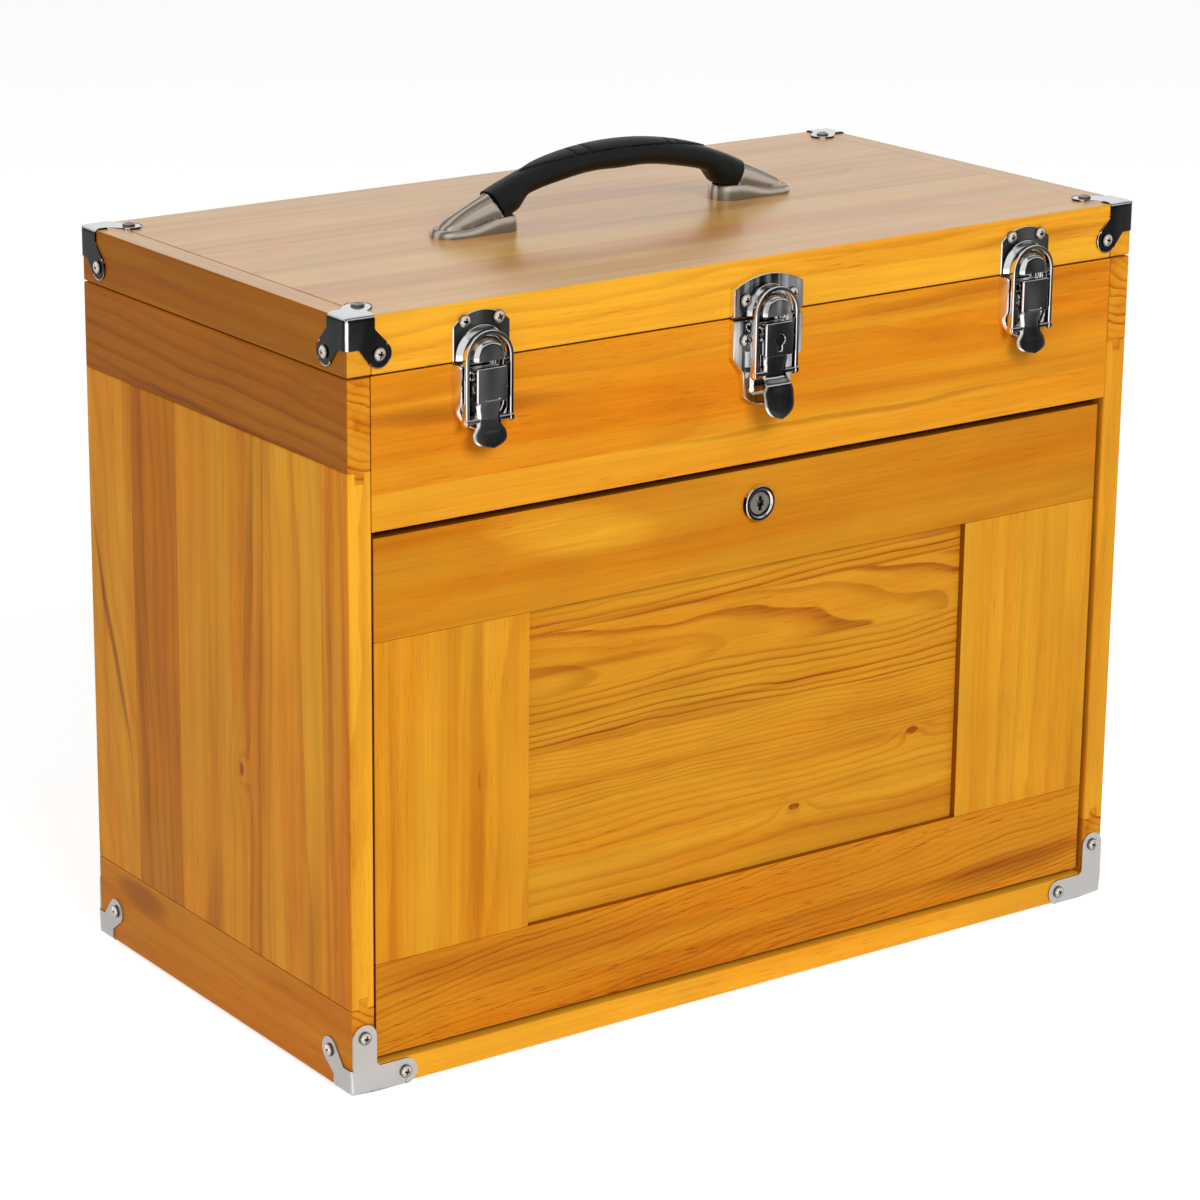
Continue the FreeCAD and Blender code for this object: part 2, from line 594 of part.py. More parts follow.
between = (f"(-{INNER})", INNER)
till_front = board("TillFrontBlank", between, (FRONT, f"({FRONT} + till_front_thickness)"),
                   (TILL_BOARD_BOTTOM, CASE_TOP))
node(cut("TillFront", till_front, case_holes), "till_front_board")
base_board = board("BaseBlank", between, (FRONT, BACK_INNER), ("0", "base_thickness"))
node(cut("Base", base_board, case_holes), "base_board")
back_panel = board("BackBlank", between, (BACK_INNER, BACK), ("0", CASE_TOP))
node(cut("Back", back_panel, case_holes), "back_panel")
till_floor_y = (f"({FRONT} + till_front_thickness)", BACK_INNER)
node(board("TillFloor", between, till_floor_y,
           (TILL_FLOOR_BOTTOM, f"({TILL_FLOOR_BOTTOM} + till_floor_thickness)")), "till_floor")
node(board("TillFelt", (f"(-{INNER} + felt_margin)", f"({INNER} - felt_margin)"),
           (f"({till_floor_y[0]} + felt_margin)", f"({BACK_INNER} - felt_margin)"),
           (f"({TILL_FLOOR_BOTTOM} + till_floor_thickness)",
            f"({TILL_FLOOR_BOTTOM} + till_floor_thickness + felt_thickness)")), "till_felt")
node(board("SlotDeck", between, (f"({FRONT_REAR} + front_gap_bottom)", BACK_INNER),
           (DECK_BOTTOM, BOTTOM_BAY_FLOOR)), "slot_deck")
bay_y = (DRAWER_FACE, BACK_INNER)
node(board("WideShelf", between, bay_y, (BOTTOM_BAY_TOP, COLUMN_FLOOR)), "wide_shelf")
partition = board("Partition", (f"(-{PARTITION_OUT})", f"(-{MIDDLE_HALF})"), bay_y,
                  (COLUMN_FLOOR, TILL_FLOOR_BOTTOM))
node(both_sides("Partitions", partition), "drawer_partitions")


def row_floor(index):
    """Height of the floor under one row of small drawers."""
    return f"({COLUMN_FLOOR} + {index} * ({ROW_HEIGHT} + small_shelf_thickness))"


small_shelves = [
    board(f"SmallShelf{index}", (f"(-{INNER})", f"(-{PARTITION_OUT})"), bay_y,
          (f"({row_floor(index)} - small_shelf_thickness)", row_floor(index)))
    for index in range(1, len(ROWS))]
node(both_sides("SmallShelves", group("SmallShelvesLeft", small_shelves)), "small_shelves")

# Drawers: five boards each, standing in their bays, and turned knobs


def drawer(name, x, floor, ceiling):
    """Front, sides, back and bottom of a drawer that fills a bay with its clearances."""
    left, right = f"({x[0]} + drawer_side_clearance)", f"({x[1]} - drawer_side_clearance)"
    bottom, top = f"({floor} + drawer_lift)", f"({ceiling} - drawer_top_clearance)"
    wall_top = f"({top} - drawer_wall_drop)"
    face, rear = DRAWER_FACE, f"({BACK_INNER} - drawer_tail_gap)"
    behind_front = f"({face} + drawer_front_thickness)"
    before_back = f"({rear} - drawer_wall_thickness)"
    inner = (f"({left} + drawer_wall_thickness)", f"({right} - drawer_wall_thickness)")
    return group(name, [
        board(f"{name}Front", (left, right), (face, behind_front), (bottom, top)),
        board(f"{name}SideLeft", (left, inner[0]), (behind_front, rear), (bottom, wall_top)),
        board(f"{name}SideRight", (inner[1], right), (behind_front, rear), (bottom, wall_top)),
        board(f"{name}Back", inner, (before_back, rear), (bottom, wall_top)),
        board(f"{name}Bottom", inner, (behind_front, before_back),
              (bottom, f"({bottom} + drawer_floor_thickness)")),
    ])


def knob(name, x, z):
    """A knob with a slim neck and a cap whose end is part of a ball."""
    crown_radius = "((knob_radius ^ 2 + knob_crown ^ 2) / (2 * knob_crown))"
    crown_middle = f"(knob_reach - {crown_radius} + sqrt({crown_radius} ^ 2 - knob_radius ^ 2 / 4))"
    body = turned(name, [
        ("0", "0"),
        ("knob_foot_radius", "0"),
        ("knob_neck_radius", "knob_reach / 3"),
        ("knob_radius", "(knob_reach - knob_cap_height)"),
        ("knob_radius", "(knob_reach - knob_crown)", ("(knob_radius / 2)", crown_middle)),
        ("0", "knob_reach"),
    ])
    return place(body, "front", x, DRAWER_FACE, z)


bays = [("middle_tall_drawer", (f"(-{MIDDLE_HALF})", MIDDLE_HALF), COLUMN_FLOOR, TILL_BOARD_BOTTOM)]
for index, row in enumerate(ROWS):
    ceiling = f"({row_floor(index)} + {ROW_HEIGHT})"
    bays.append((f"left_{row}_drawer", (f"(-{INNER})", f"(-{PARTITION_OUT})"), row_floor(index), ceiling))
    bays.append((f"right_{row}_drawer", (PARTITION_OUT, INNER), row_floor(index), ceiling))
for label, x, floor, ceiling in bays:
    name = label.title().replace("_", "")
    node(drawer(name, x, floor, ceiling), label)
    node(knob(f"{name}Knob", f"(({x[0]} + {x[1]}) / 2)", f"(({floor} + {ceiling}) / 2)"), f"{label}_knob")
node(drawer("WideDrawer", between, BOTTOM_BAY_FLOOR, BOTTOM_BAY_TOP), "wide_bottom_drawer")
wide_knob_z = f"(({BOTTOM_BAY_FLOOR} + {BOTTOM_BAY_TOP}) / 2)"
wide_knobs = [knob("WideKnobLeft", "(-knob_spread)", wide_knob_z),
              knob("WideKnobRight", "knob_spread", wide_knob_z)]
node(group("WideDrawerKnobs", wide_knobs), "wide_bottom_drawer_knobs")

# Drop front: a frame with a recessed centre panel, two pins and a lock

front_y = (FRONT_FACE, FRONT_REAR)
field_y = (f"({FRONT_FACE} + field_recess)", f"({FRONT_FACE} + field_recess + field_thickness)")
field_x = f"({FRONT_EDGE} - front_stile)"
field_z = (f"({FRONT_BOTTOM} + front_bottom_rail)", f"({FRONT_TOP} - front_top_rail)")
field_groove = board("FieldGroove", (f"(-{field_x} - groove_depth)", f"({field_x} + groove_depth)"),
                     (f"({field_y[0]} - groove_play)", f"({field_y[1]} + groove_play)"),
                     (f"({field_z[0]} - groove_depth)", f"({field_z[1]} + groove_depth)"))
front_pin = rod("FrontPinLeft", "x", "front_pin_radius", (PIN_Y, PIN_Z),
                f"(-{INNER} - front_pin_in_side)", f"(-{FRONT_EDGE} + front_pin_in_wood)")
front_pins = node(both_sides("FrontPins", front_pin), "front_pivot_pins")
lock_hole = rod("LockHole", "y", "lock_barrel_radius", ("0", LOCK_Z), FRONT_FACE, FRONT_REAR)
lower_rail = board("FrontLowerRailBlank", (f"(-{FRONT_EDGE})", FRONT_EDGE), front_y,
                   (FRONT_BOTTOM, field_z[0]))
lower_rail = cut("FrontLowerRail", cut("FrontLowerRailGrooved", lower_rail, field_groove), front_pins)
upper_rail = board("FrontUpperRailBlank", (f"(-{FRONT_EDGE})", FRONT_EDGE), front_y,
                   (field_z[1], FRONT_TOP))
upper_rail = cut("FrontUpperRail", cut("FrontUpperRailGrooved", upper_rail, field_groove), lock_hole)
node(group("FrontRails", [lower_rail, upper_rail]), "front_rails")
stile = board("FrontStileBlank", (f"(-{FRONT_EDGE})", f"(-{field_x})"), front_y, field_z)
node(both_sides("FrontStiles", cut("FrontStile", stile, field_groove)), "front_stiles")
field_tongue = "(groove_depth - groove_play)"
field = board("FrontField", (f"(-{field_x} - {field_tongue})", f"({field_x} + {field_tongue})"), field_y,
              (f"({field_z[0]} - {field_tongue})", f"({field_z[1]} + {field_tongue})"))
node(field, "front_centre_panel")

lock_bore = "(lock_plug_radius + running_clearance)"
lock_back = "(-front_thickness - lock_nut_height - lock_end)"
lock_shell = turned("LockShell", [
    (lock_bore, lock_back),
    ("lock_barrel_radius", lock_back),
    ("lock_barrel_radius", "0"),
    ("lock_ring_radius", "0"),
    ("lock_ring_radius", "(lock_ring_height * 0.6)",
     ("(lock_ring_radius - lock_ring_height * 0.1)", "(lock_ring_height * 0.9)")),
    ("(lock_ring_radius - lock_ring_height * 0.4)", "lock_ring_height"),
    (lock_bore, "lock_ring_height"),
])
place(lock_shell, "front", "0", FRONT_FACE, LOCK_Z)
nut_blank = doc.addObject("Part::Prism", "LockNutBlank")
nut_blank.Polygon = 6
bind(nut_blank, "Circumradius", "lock_nut_radius")
bind(nut_blank, "Height", "lock_nut_height")
place(nut_blank, "back", "0", FRONT_REAR, LOCK_Z)
nut_hole = rod("LockNutHole", "y", "lock_barrel_radius", ("0", LOCK_Z), FRONT_REAR,
               f"({FRONT_REAR} + lock_nut_height)")
node(group("LockHousing", [lock_shell, cut("LockNut", nut_blank, nut_hole)]), "front_lock_housing")
plug_front = f"({FRONT_FACE} - lock_ring_height + lock_plug_recess)"
plug_back = f"({FRONT_FACE} - {lock_back} + cam_gap)"
plug = rod("LockPlugBlank", "y", "lock_plug_radius", ("0", LOCK_Z), plug_front, plug_back)
keyway = board("LockKeyway", ("(-keyway_width / 2)", "(keyway_width / 2)"),
               (plug_front, f"({plug_front} + keyway_length)"),
               (f"({LOCK_Z} - keyway_height / 2)", f"({LOCK_Z} + keyway_height / 2)"))
cam = board("LockCam", ("(-cam_length)", "(cam_width / 2)"), (plug_back, f"({plug_back} + cam_thickness)"),
            (f"({LOCK_Z} - cam_width / 2)", f"({LOCK_Z} + cam_width / 2)"))
node(group("LockPlug", [cut("LockPlugSlotted", plug, keyway), cam]), "front_lock_plug")

# Lid: rails round a planked top


def lid_planks():
    """Planks of the lid top from front to back, each as long as the gap between the side rails."""
    start, end = f"({FRONT} + lid_rail_thickness)", f"({BACK} - lid_rail_thickness)"
    count = math.ceil(number(f"({end} - {start}) / lid_plank_width"))
    planks = []
    for index in range(count):
        low = f"({start} + {index} * lid_plank_width)"
        high = f"({low} + lid_plank_width)" if index < count - 1 else end
        blank = board(f"LidPlank{index + 1}Blank", (f"(-{LID_INNER})", LID_INNER), (low, high),
                      (TOP_PANEL_BOTTOM, "case_height"))
        bored = cut(f"LidPlank{index + 1}Bored", blank, bolt_holes)
        planks.append(cut(f"LidPlank{index + 1}", bored, lid_holes))
    return group("LidPlanks", planks)


def handle_bolts(name, radius, low, high):
    """One cylinder for each of the four handle bolts."""
    rods = [rod(f"{name}{index}", "z", radius, (x, "0"), low, high)
            for index, x in enumerate(("(-outer_bolt_distance)", "(-inner_bolt_distance)"))]
    return both_sides(name, group(f"{name}Left", rods))


bolt_holes = handle_bolts("HandleBoltHoles", "handle_bolt_radius", TOP_PANEL_BOTTOM, "case_height")
lid_z = (LID_BOTTOM, "case_height")
lid_side = board("LidSideBlank", (f"(-{HALF_WIDTH})", f"(-{LID_INNER})"), (FRONT, BACK), lid_z)
lid_side = cut("LidSide", lid_side, lid_holes)
lid_rail_x = (f"(-{LID_INNER})", LID_INNER)
lid_front = board("LidFrontBlank", lid_rail_x, (FRONT, f"({FRONT} + lid_rail_thickness)"), lid_z)
lid_back = board("LidBackBlank", lid_rail_x, (f"({BACK} - lid_rail_thickness)", BACK), lid_z)
node(both_sides("LidSides", lid_side), "lid_side_rails")
node(group("LidRails", [cut("LidFront", lid_front, lid_holes), cut("LidBack", lid_back, lid_holes)]),
     "lid_front_and_back_rails")
node(lid_planks(), "lid_top_planks")
felt_y = (f"({FRONT} + lid_rail_thickness + felt_margin)",
          f"({BACK} - lid_rail_thickness - felt_margin)")
felt_blank = board("LidFeltBlank", (f"(-{LID_INNER} + felt_margin)", f"({LID_INNER} - felt_margin)"),
                   felt_y, (f"({TOP_PANEL_BOTTOM} - felt_thickness)", TOP_PANEL_BOTTOM))
head_room = handle_bolts("HandleHeadRoom", "(handle_bolt_head + felt_margin)",
                         f"({TOP_PANEL_BOTTOM} - felt_thickness)", TOP_PANEL_BOTTOM)
node(cut("LidFelt", felt_blank, head_room), "lid_felt")

# Handle: an arched grip between two end brackets, bolted from inside the lid


GRIP_ANGLE = "asin(grip_half_span / grip_radius)"
GRIP_INNER = "(grip_radius - grip_thickness)"


def grip():
    """The grip: a rectangle with round corners, swept about the centre of the handle's curve."""
    half = "(grip_width / 2)"
    bulge = f"grip_corner * {1 - math.sqrt(0.5)}"
    right, left = f"({half} - {bulge})", f"(-{half} + {bulge})"
    inner, outer = f"({GRIP_INNER} + {bulge})", f"(grip_radius - {bulge})"
    section = [
        ("(grip_radius - grip_corner)", f"(-{half})", (outer, left)),
        ("grip_radius", f"(-{half} + grip_corner)"),
        ("grip_radius", f"({half} - grip_corner)", (outer, right)),
        ("(grip_radius - grip_corner)", half),
        (f"({GRIP_INNER} + grip_corner)", half, (inner, right)),
        (GRIP_INNER, f"({half} - grip_corner)"),
        (GRIP_INNER, f"(-{half} + grip_corner)", (inner, left)),
        (f"({GRIP_INNER} + grip_corner)", f"(-{half})"),
    ]
    return place(turned("Grip", section, f"2 * {GRIP_ANGLE}"), "arched", "0", "0", GRIP_CENTRE_Z)


node(grip(), "handle_grip")


def end_bracket():
    """The left end bracket: a wedge from its toe up to the grip's end, with a rounded plan."""
    profile = [
        ("(-handle_half_length)", "case_height"),
        ("(-handle_half_length)", "(case_height + handle_toe_height)"),
        (f"(-grip_radius * sin({GRIP_ANGLE}))", f"({GRIP_CENTRE_Z} + grip_radius * cos({GRIP_ANGLE}))"),
        (f"(-{GRIP_INNER} * sin({GRIP_ANGLE}))", f"({GRIP_CENTRE_Z} + {GRIP_INNER} * cos({GRIP_ANGLE}))"),
        ("(-handle_foot_inner - handle_foot_width / 2)", "(case_height + handle_heel_height)"),
        ("(-handle_foot_inner)", "(case_height + handle_heel_height)"),
        ("(-handle_foot_inner)", "case_height"),
    ]
    half = "(handle_foot_width / 2)"
    toe, heel = f"(-handle_half_length + {half})", f"(-handle_foot_inner - {half})"
    plan = [
        (toe, f"(-{half})"),
        (heel, f"(-{half})", ("(-handle_foot_inner)", "0")),
        (heel, half),
        (toe, half, ("(-handle_half_length)", "0")),
    ]
    solid = common("EndBracketSolid",
                   plate("EndBracketSide", "xz", profile, f"(-{half})", half),
                   plate("EndBracketPlan", "xy", plan, "case_height", "(case_height + grip_rise)"))
    sockets = handle_bolts("EndBracketSockets", "handle_bolt_radius", "case_height",
                           "(case_height + handle_bolt_grip)")
    return cut("EndBracket", solid, sockets)


node(both_sides("EndBrackets", end_bracket()), "handle_end_brackets")
bolt_shanks = handle_bolts("HandleBoltShanks", "handle_bolt_radius", TOP_PANEL_BOTTOM,
                           "(case_height + handle_bolt_grip)")
bolt_heads = handle_bolts("HandleBoltHeads", "handle_bolt_head",
                          f"({TOP_PANEL_BOTTOM} - handle_bolt_head_height)", TOP_PANEL_BOTTOM)
node(fuse("HandleBolts", [bolt_shanks, bolt_heads]), "handle_bolts")

# Corner brackets: three plates folded round a corner, with round lobes for the screws

DIAGONAL = f"(lobe_radius * {math.sqrt(0.5)})"


def lobe_outline(u, v, lobe_u, lobe_v, wrap_v):
    """A square patch at a corner with a round lobe on its diagonal. u and v turn a distance along
    each edge into a coordinate."""
    near_u, far_u = f"({lobe_u} - {DIAGONAL})", f"({lobe_u} + {DIAGONAL})"
    near_v, far_v = f"({lobe_v} - {DIAGONAL})", f"({lobe_v} + {DIAGONAL})"
    return [
        (u("-plate_gauge"), v("-plate_gauge")),
        (u("bracket_wrap"), v("-plate_gauge")),
        (u("bracket_wrap"), v("bracket_notch")),
        (u(far_u), v(near_v), (u(far_u), v(far_v))),
        (u(near_u), v(far_v)),
        (u("bracket_notch"), v(wrap_v)),
        (u("-plate_gauge"), v(wrap_v)),
    ]


def from_left(text):
    return f"(-{HALF_WIDTH} + ({text}))"


def from_front(text):
    return f"({FRONT} + ({text}))"


def from_top(text):
    return f"(case_height - ({text}))"


def from_bottom(text):
    return f"({text})"


front_skin = (f"({FRONT} - plate_gauge)", FRONT)
left_skin = (f"(-{HALF_WIDTH} - plate_gauge)", f"(-{HALF_WIDTH})")
top_bracket = fuse("TopBracketBlank", [
    plate("TopBracketFront", "xz",
          lobe_outline(from_left, from_top, "top_lobe_reach", "top_lobe_drop", "bracket_wrap"),
          *front_skin),
    plate("TopBracketSide", "yz",
          lobe_outline(from_front, from_top, "top_lobe_reach", "top_lobe_drop", "bracket_wrap"),
          *left_skin),
    plate("TopBracketTop", "xy",
          lobe_outline(from_left, from_front, "top_lobe_reach", "top_lobe_reach", "bracket_wrap"),
          "case_height", "(case_height + plate_gauge)"),
])
node(four_corners("TopBrackets", cut("TopBracket", top_bracket, lid_holes)), "lid_corner_brackets")

arm_right = "(foot_arm_inset + 2 * lobe_radius)"
foot_front = [
    (from_left("-plate_gauge"), "(-plate_gauge)"),
    (from_left("foot_arm_length"), "(-plate_gauge)",
     (from_left("foot_arm_length + (foot_wrap + plate_gauge) / 2"), "((foot_wrap - plate_gauge) / 2)")),
    (from_left("foot_arm_length"), "foot_wrap"),
    (from_left(f"{arm_right} + foot_arm_fillet"), "foot_wrap"),
    (from_left(arm_right), "(foot_wrap + foot_arm_fillet)"),
    (from_left(arm_right), "foot_arm_height", (from_left("foot_arm_inset + lobe_radius"),
                                               "(foot_arm_height + lobe_radius)")),
    (from_left("foot_arm_inset"), "foot_arm_height"),
    (from_left("foot_arm_inset"), "foot_wrap"),
    (from_left("-plate_gauge"), "foot_wrap"),
]
foot_bottom = [(from_left(u), from_front(v)) for u, v in (
    ("-plate_gauge", "-plate_gauge"), ("side_thickness", "-plate_gauge"),
    ("side_thickness", "bracket_wrap"), ("-plate_gauge", "bracket_wrap"))]
foot_bracket = fuse("FootBracketBlank", [
    plate("FootBracketFront", "xz", foot_front, *front_skin),
    plate("FootBracketSide", "yz",
          lobe_outline(from_front, from_bottom, "foot_lobe_reach", "foot_lobe_height", "foot_wrap"),
          *left_skin),
    plate("FootBracketBottom", "xy", foot_bottom, "(-plate_gauge)", "0"),
])
node(four_corners("FootBrackets", cut("FootBracket", foot_bracket, case_holes)), "bottom_corner_brackets")

# Lid hinges: two leaves, three knuckles and a pin each


def hinge_leaf(name, upward, knuckles, holes):
    """A leaf on the back, with tabs that carry its own knuckles. knuckles names each one's third of
    the hinge's width, counted from the left."""
    sign = "+" if upward else "-"
    reach = "(knuckle_radius + knuckle_gap)"

    def along(thirds, gap="0"):
        return f"({HINGE_X} - hinge_width / 2 + hinge_width * {thirds} / 3 + ({gap}))"

    def heights(near, far):
        low, high = f"({SEAM} {sign} {near})", f"({SEAM} {sign} {far})"
        return (low, high) if upward else (high, low)

    leaf_y = (BACK, f"({BACK} + hinge_gauge)")
    parts = [board(f"{name}Plate", (along(0), along(3)), leaf_y, heights(reach, "hinge_leaf_height"))]
    for index in knuckles:
        x = (along(index, "knuckle_gap / 2"), along(index + 1, "-knuckle_gap / 2"))
        parts.append(board(f"{name}Tab{index}", x, leaf_y, heights("(seam_gap / 2)", reach)))
        parts.append(rod(f"{name}Knuckle{index}", "x", "knuckle_radius", (HINGE_Y, SEAM), *x))
    bore = rod(f"{name}Bore", "x", "(hinge_pin_radius + running_clearance)", (HINGE_Y, SEAM),
               along(0), along(3))
    return cut(f"{name}Drilled", cut(name, fuse(f"{name}Blank", parts), bore), holes)


case_leaf = hinge_leaf("CaseLeaf", False, (0, 2), case_holes)
lid_leaf = hinge_leaf("LidLeaf", True, (1,), lid_holes)
hinge_pin = rod("HingePin", "x", "hinge_pin_radius", (HINGE_Y, SEAM),
                f"({HINGE_X} - hinge_width / 2)", f"({HINGE_X} + hinge_width / 2)")
case_leaf_and_pin = group("CaseLeafAndPin", [case_leaf, hinge_pin])
node(both_sides("CaseLeaves", case_leaf_and_pin), "case_hinge_leaves_and_pins")
node(both_sides("LidLeaves", lid_leaf), "lid_hinge_leaves")

# Draw latches: a catch plate on the lid, a base, a lever and a loop on the case


def off_wood(text):
    """A distance out from the case's front face."""
    return f"({FRONT} - ({text}))"


def from_seam(text):
    return f"({SEAM} + ({text}))"


def catch_plate(name, middle, half, shoulder, rise, gauge, dome, extra, holes):
    """An arched plate with a broad dome and a narrow one that the loop goes round, extra further out."""
    def arched(part, radius, low, high):
        top = f"boss_rise + {radius}"
        return plate(f"{name}{part}", "xz", [
            (f"({middle} - {radius})", from_seam("catch_lip")),
            (f"({middle} + {radius})", from_seam("catch_lip")),
            (f"({middle} + {radius})", from_seam("boss_rise"), (middle, from_seam(top))),
            (f"({middle} - {radius})", from_seam("boss_rise")),
        ], off_wood(high), off_wood(low))

    sheet_metal = plate(f"{name}Plate", "xz", [
        (f"({middle} - {half})", from_seam("catch_lip")),
        (f"({middle} + {half})", from_seam("catch_lip")),
        (f"({middle} + {half})", from_seam(shoulder), (middle, from_seam(rise))),
        (f"({middle} - {half})", from_seam(shoulder)),
    ], off_wood(gauge), FRONT)
    blank = fuse(f"{name}Blank", [
        sheet_metal,
        arched("BroadDome", dome, gauge, f"dome_height + {extra}"),
        arched("NarrowDome", "boss_radius", f"dome_height + {extra}", f"boss_height + {extra}"),
    ])
    return cut(name, blank, holes)


def ears(name, middle, extra):
    """Two ears that stand on a latch base and carry the lever's pin, extra further out."""
    x = ("(lever_half_width + ear_gap)", "(lever_half_width + ear_gap + ear_thickness)")
    y = (off_wood(f"ear_front + {extra}"), FRONT)
    z = (from_seam("-lever_pin_drop - ear_half_height"), from_seam("-lever_pin_drop + ear_half_height"))
    pair = [board(f"{name}Left", (f"({middle} - {x[1]})", f"({middle} - {x[0]})"), y, z),
            board(f"{name}Right", (f"({middle} + {x[0]})", f"({middle} + {x[1]})"), y, z)]
    hole = lever_pin(f"{name}Hole", middle, extra, "latch_pin_radius")
    return [cut(f"{name}{side}Bored", ear, hole) for side, ear in zip(("Left", "Right"), pair)]


def lever_pin(name, middle, extra, radius):
    reach = "(lever_half_width + ear_gap + ear_thickness)"
    return rod(name, "x", radius, (off_wood(f"lever_pin_depth + {extra}"), from_seam("-lever_pin_drop")),
               f"({middle} - {reach})", f"({middle} + {reach})")


def outer_base(name, middle):
    """A tray with straight side walls and a round lower end."""
    half, inner = "(catch_width / 2)", "(catch_width / 2 - plate_gauge)"
    top, bend = from_seam("-base_lip"), from_seam("-tray_straight")

    def tray_shape(part, reach, low, high):
        return plate(f"{name}{part}", "xz", [
            (f"({middle} - {reach})", top),
            (f"({middle} - {reach})", bend, (middle, from_seam(f"-tray_straight - {reach}"))),
            (f"({middle} + {reach})", bend),
            (f"({middle} + {reach})", top),
        ], off_wood(high), off_wood(low))

    rim = cut(f"{name}Rim", tray_shape("RimOuter", half, "0", "tray_rim_height"),
              tray_shape("RimInner", inner, "plate_gauge", "tray_rim_height"))
    wall_y, wall_z = (off_wood("tray_wall_height"), FRONT), (bend, top)
    walls = [board(f"{name}WallLeft", (f"({middle} - {half})", f"({middle} - {inner})"), wall_y, wall_z),
             board(f"{name}WallRight", (f"({middle} + {inner})", f"({middle} + {half})"), wall_y, wall_z)]
    parts = [rim] + walls + ears(f"{name}Ear", middle, "0")
    return cut(name, fuse(f"{name}Blank", parts), case_holes)


def centre_base(name):
    """The centre latch's raised plate, wide above and narrow below."""
    half = "(mid_catch_width / 2)"
    right = [(half, "-base_lip"), (half, "-mid_base_shoulder"), ("mid_base_waist", "-mid_base_waist_drop"),
             ("mid_base_foot", "-mid_base_foot_drop")]
    points = [(f"(-{u})", from_seam(v)) for u, v in right[:-1]]
    points.append((f"(-{right[-1][0]})", from_seam(right[-1][1]), ("0", from_seam("-mid_base_drop"))))
    points += [(u, from_seam(v)) for u, v in reversed(right)]
    raised = plate(f"{name}Plate", "xz", points, off_wood("mid_plate_gauge"), FRONT)
    parts = [raised] + ears(f"{name}Ear", "0", "mid_lever_offset")
    return cut(name, fuse(f"{name}Blank", parts), case_holes)


def tongue(name, middle, extra, flare_half, flare, tip, tip_out):
    """A thumb tongue: a strip that bends outwards, cut to a flared and rounded outline."""
    front = f"(lever_front + {extra} - tongue_step)"
    back = f"({front} - plate_gauge)"
    start, bend, end = from_seam("-lever_box_drop"), from_seam("-tongue_bend_drop"), from_seam(f"-{tip}")
    turn = from_seam(f"-(tongue_bend_drop + {tip}) / 2")
    strip = plate(f"{name}Strip", "yz", [
        (off_wood(back), start),
        (off_wood(front), start),
        (off_wood(front), bend, (off_wood(f"{front} + {tip_out} * 0.3"), turn)),
        (off_wood(f"{front} + {tip_out}"), end),
        (off_wood(f"{back} + {tip_out}"), end, (off_wood(f"{back} + {tip_out} * 0.3"), turn)),
        (off_wood(back), bend),
    ], f"({middle} - {flare_half})", f"({middle} + {flare_half})")
    sides = [("tongue_half_width", start), ("tongue_half_width", bend),
             (flare_half, from_seam(f"-{flare}"))]
    points = [(f"({middle} - {u})", v) for u, v in sides[:-1]]
    points.append((f"({middle} - {sides[-1][0]})", sides[-1][1], (middle, end)))
    points += [(f"({middle} + {u})", v) for u, v in reversed(sides)]
    shape = plate(f"{name}Outline", "xz", points, off_wood(f"{front} + {tip_out}"), off_wood(back))
    return common(f"{name}", strip, shape)


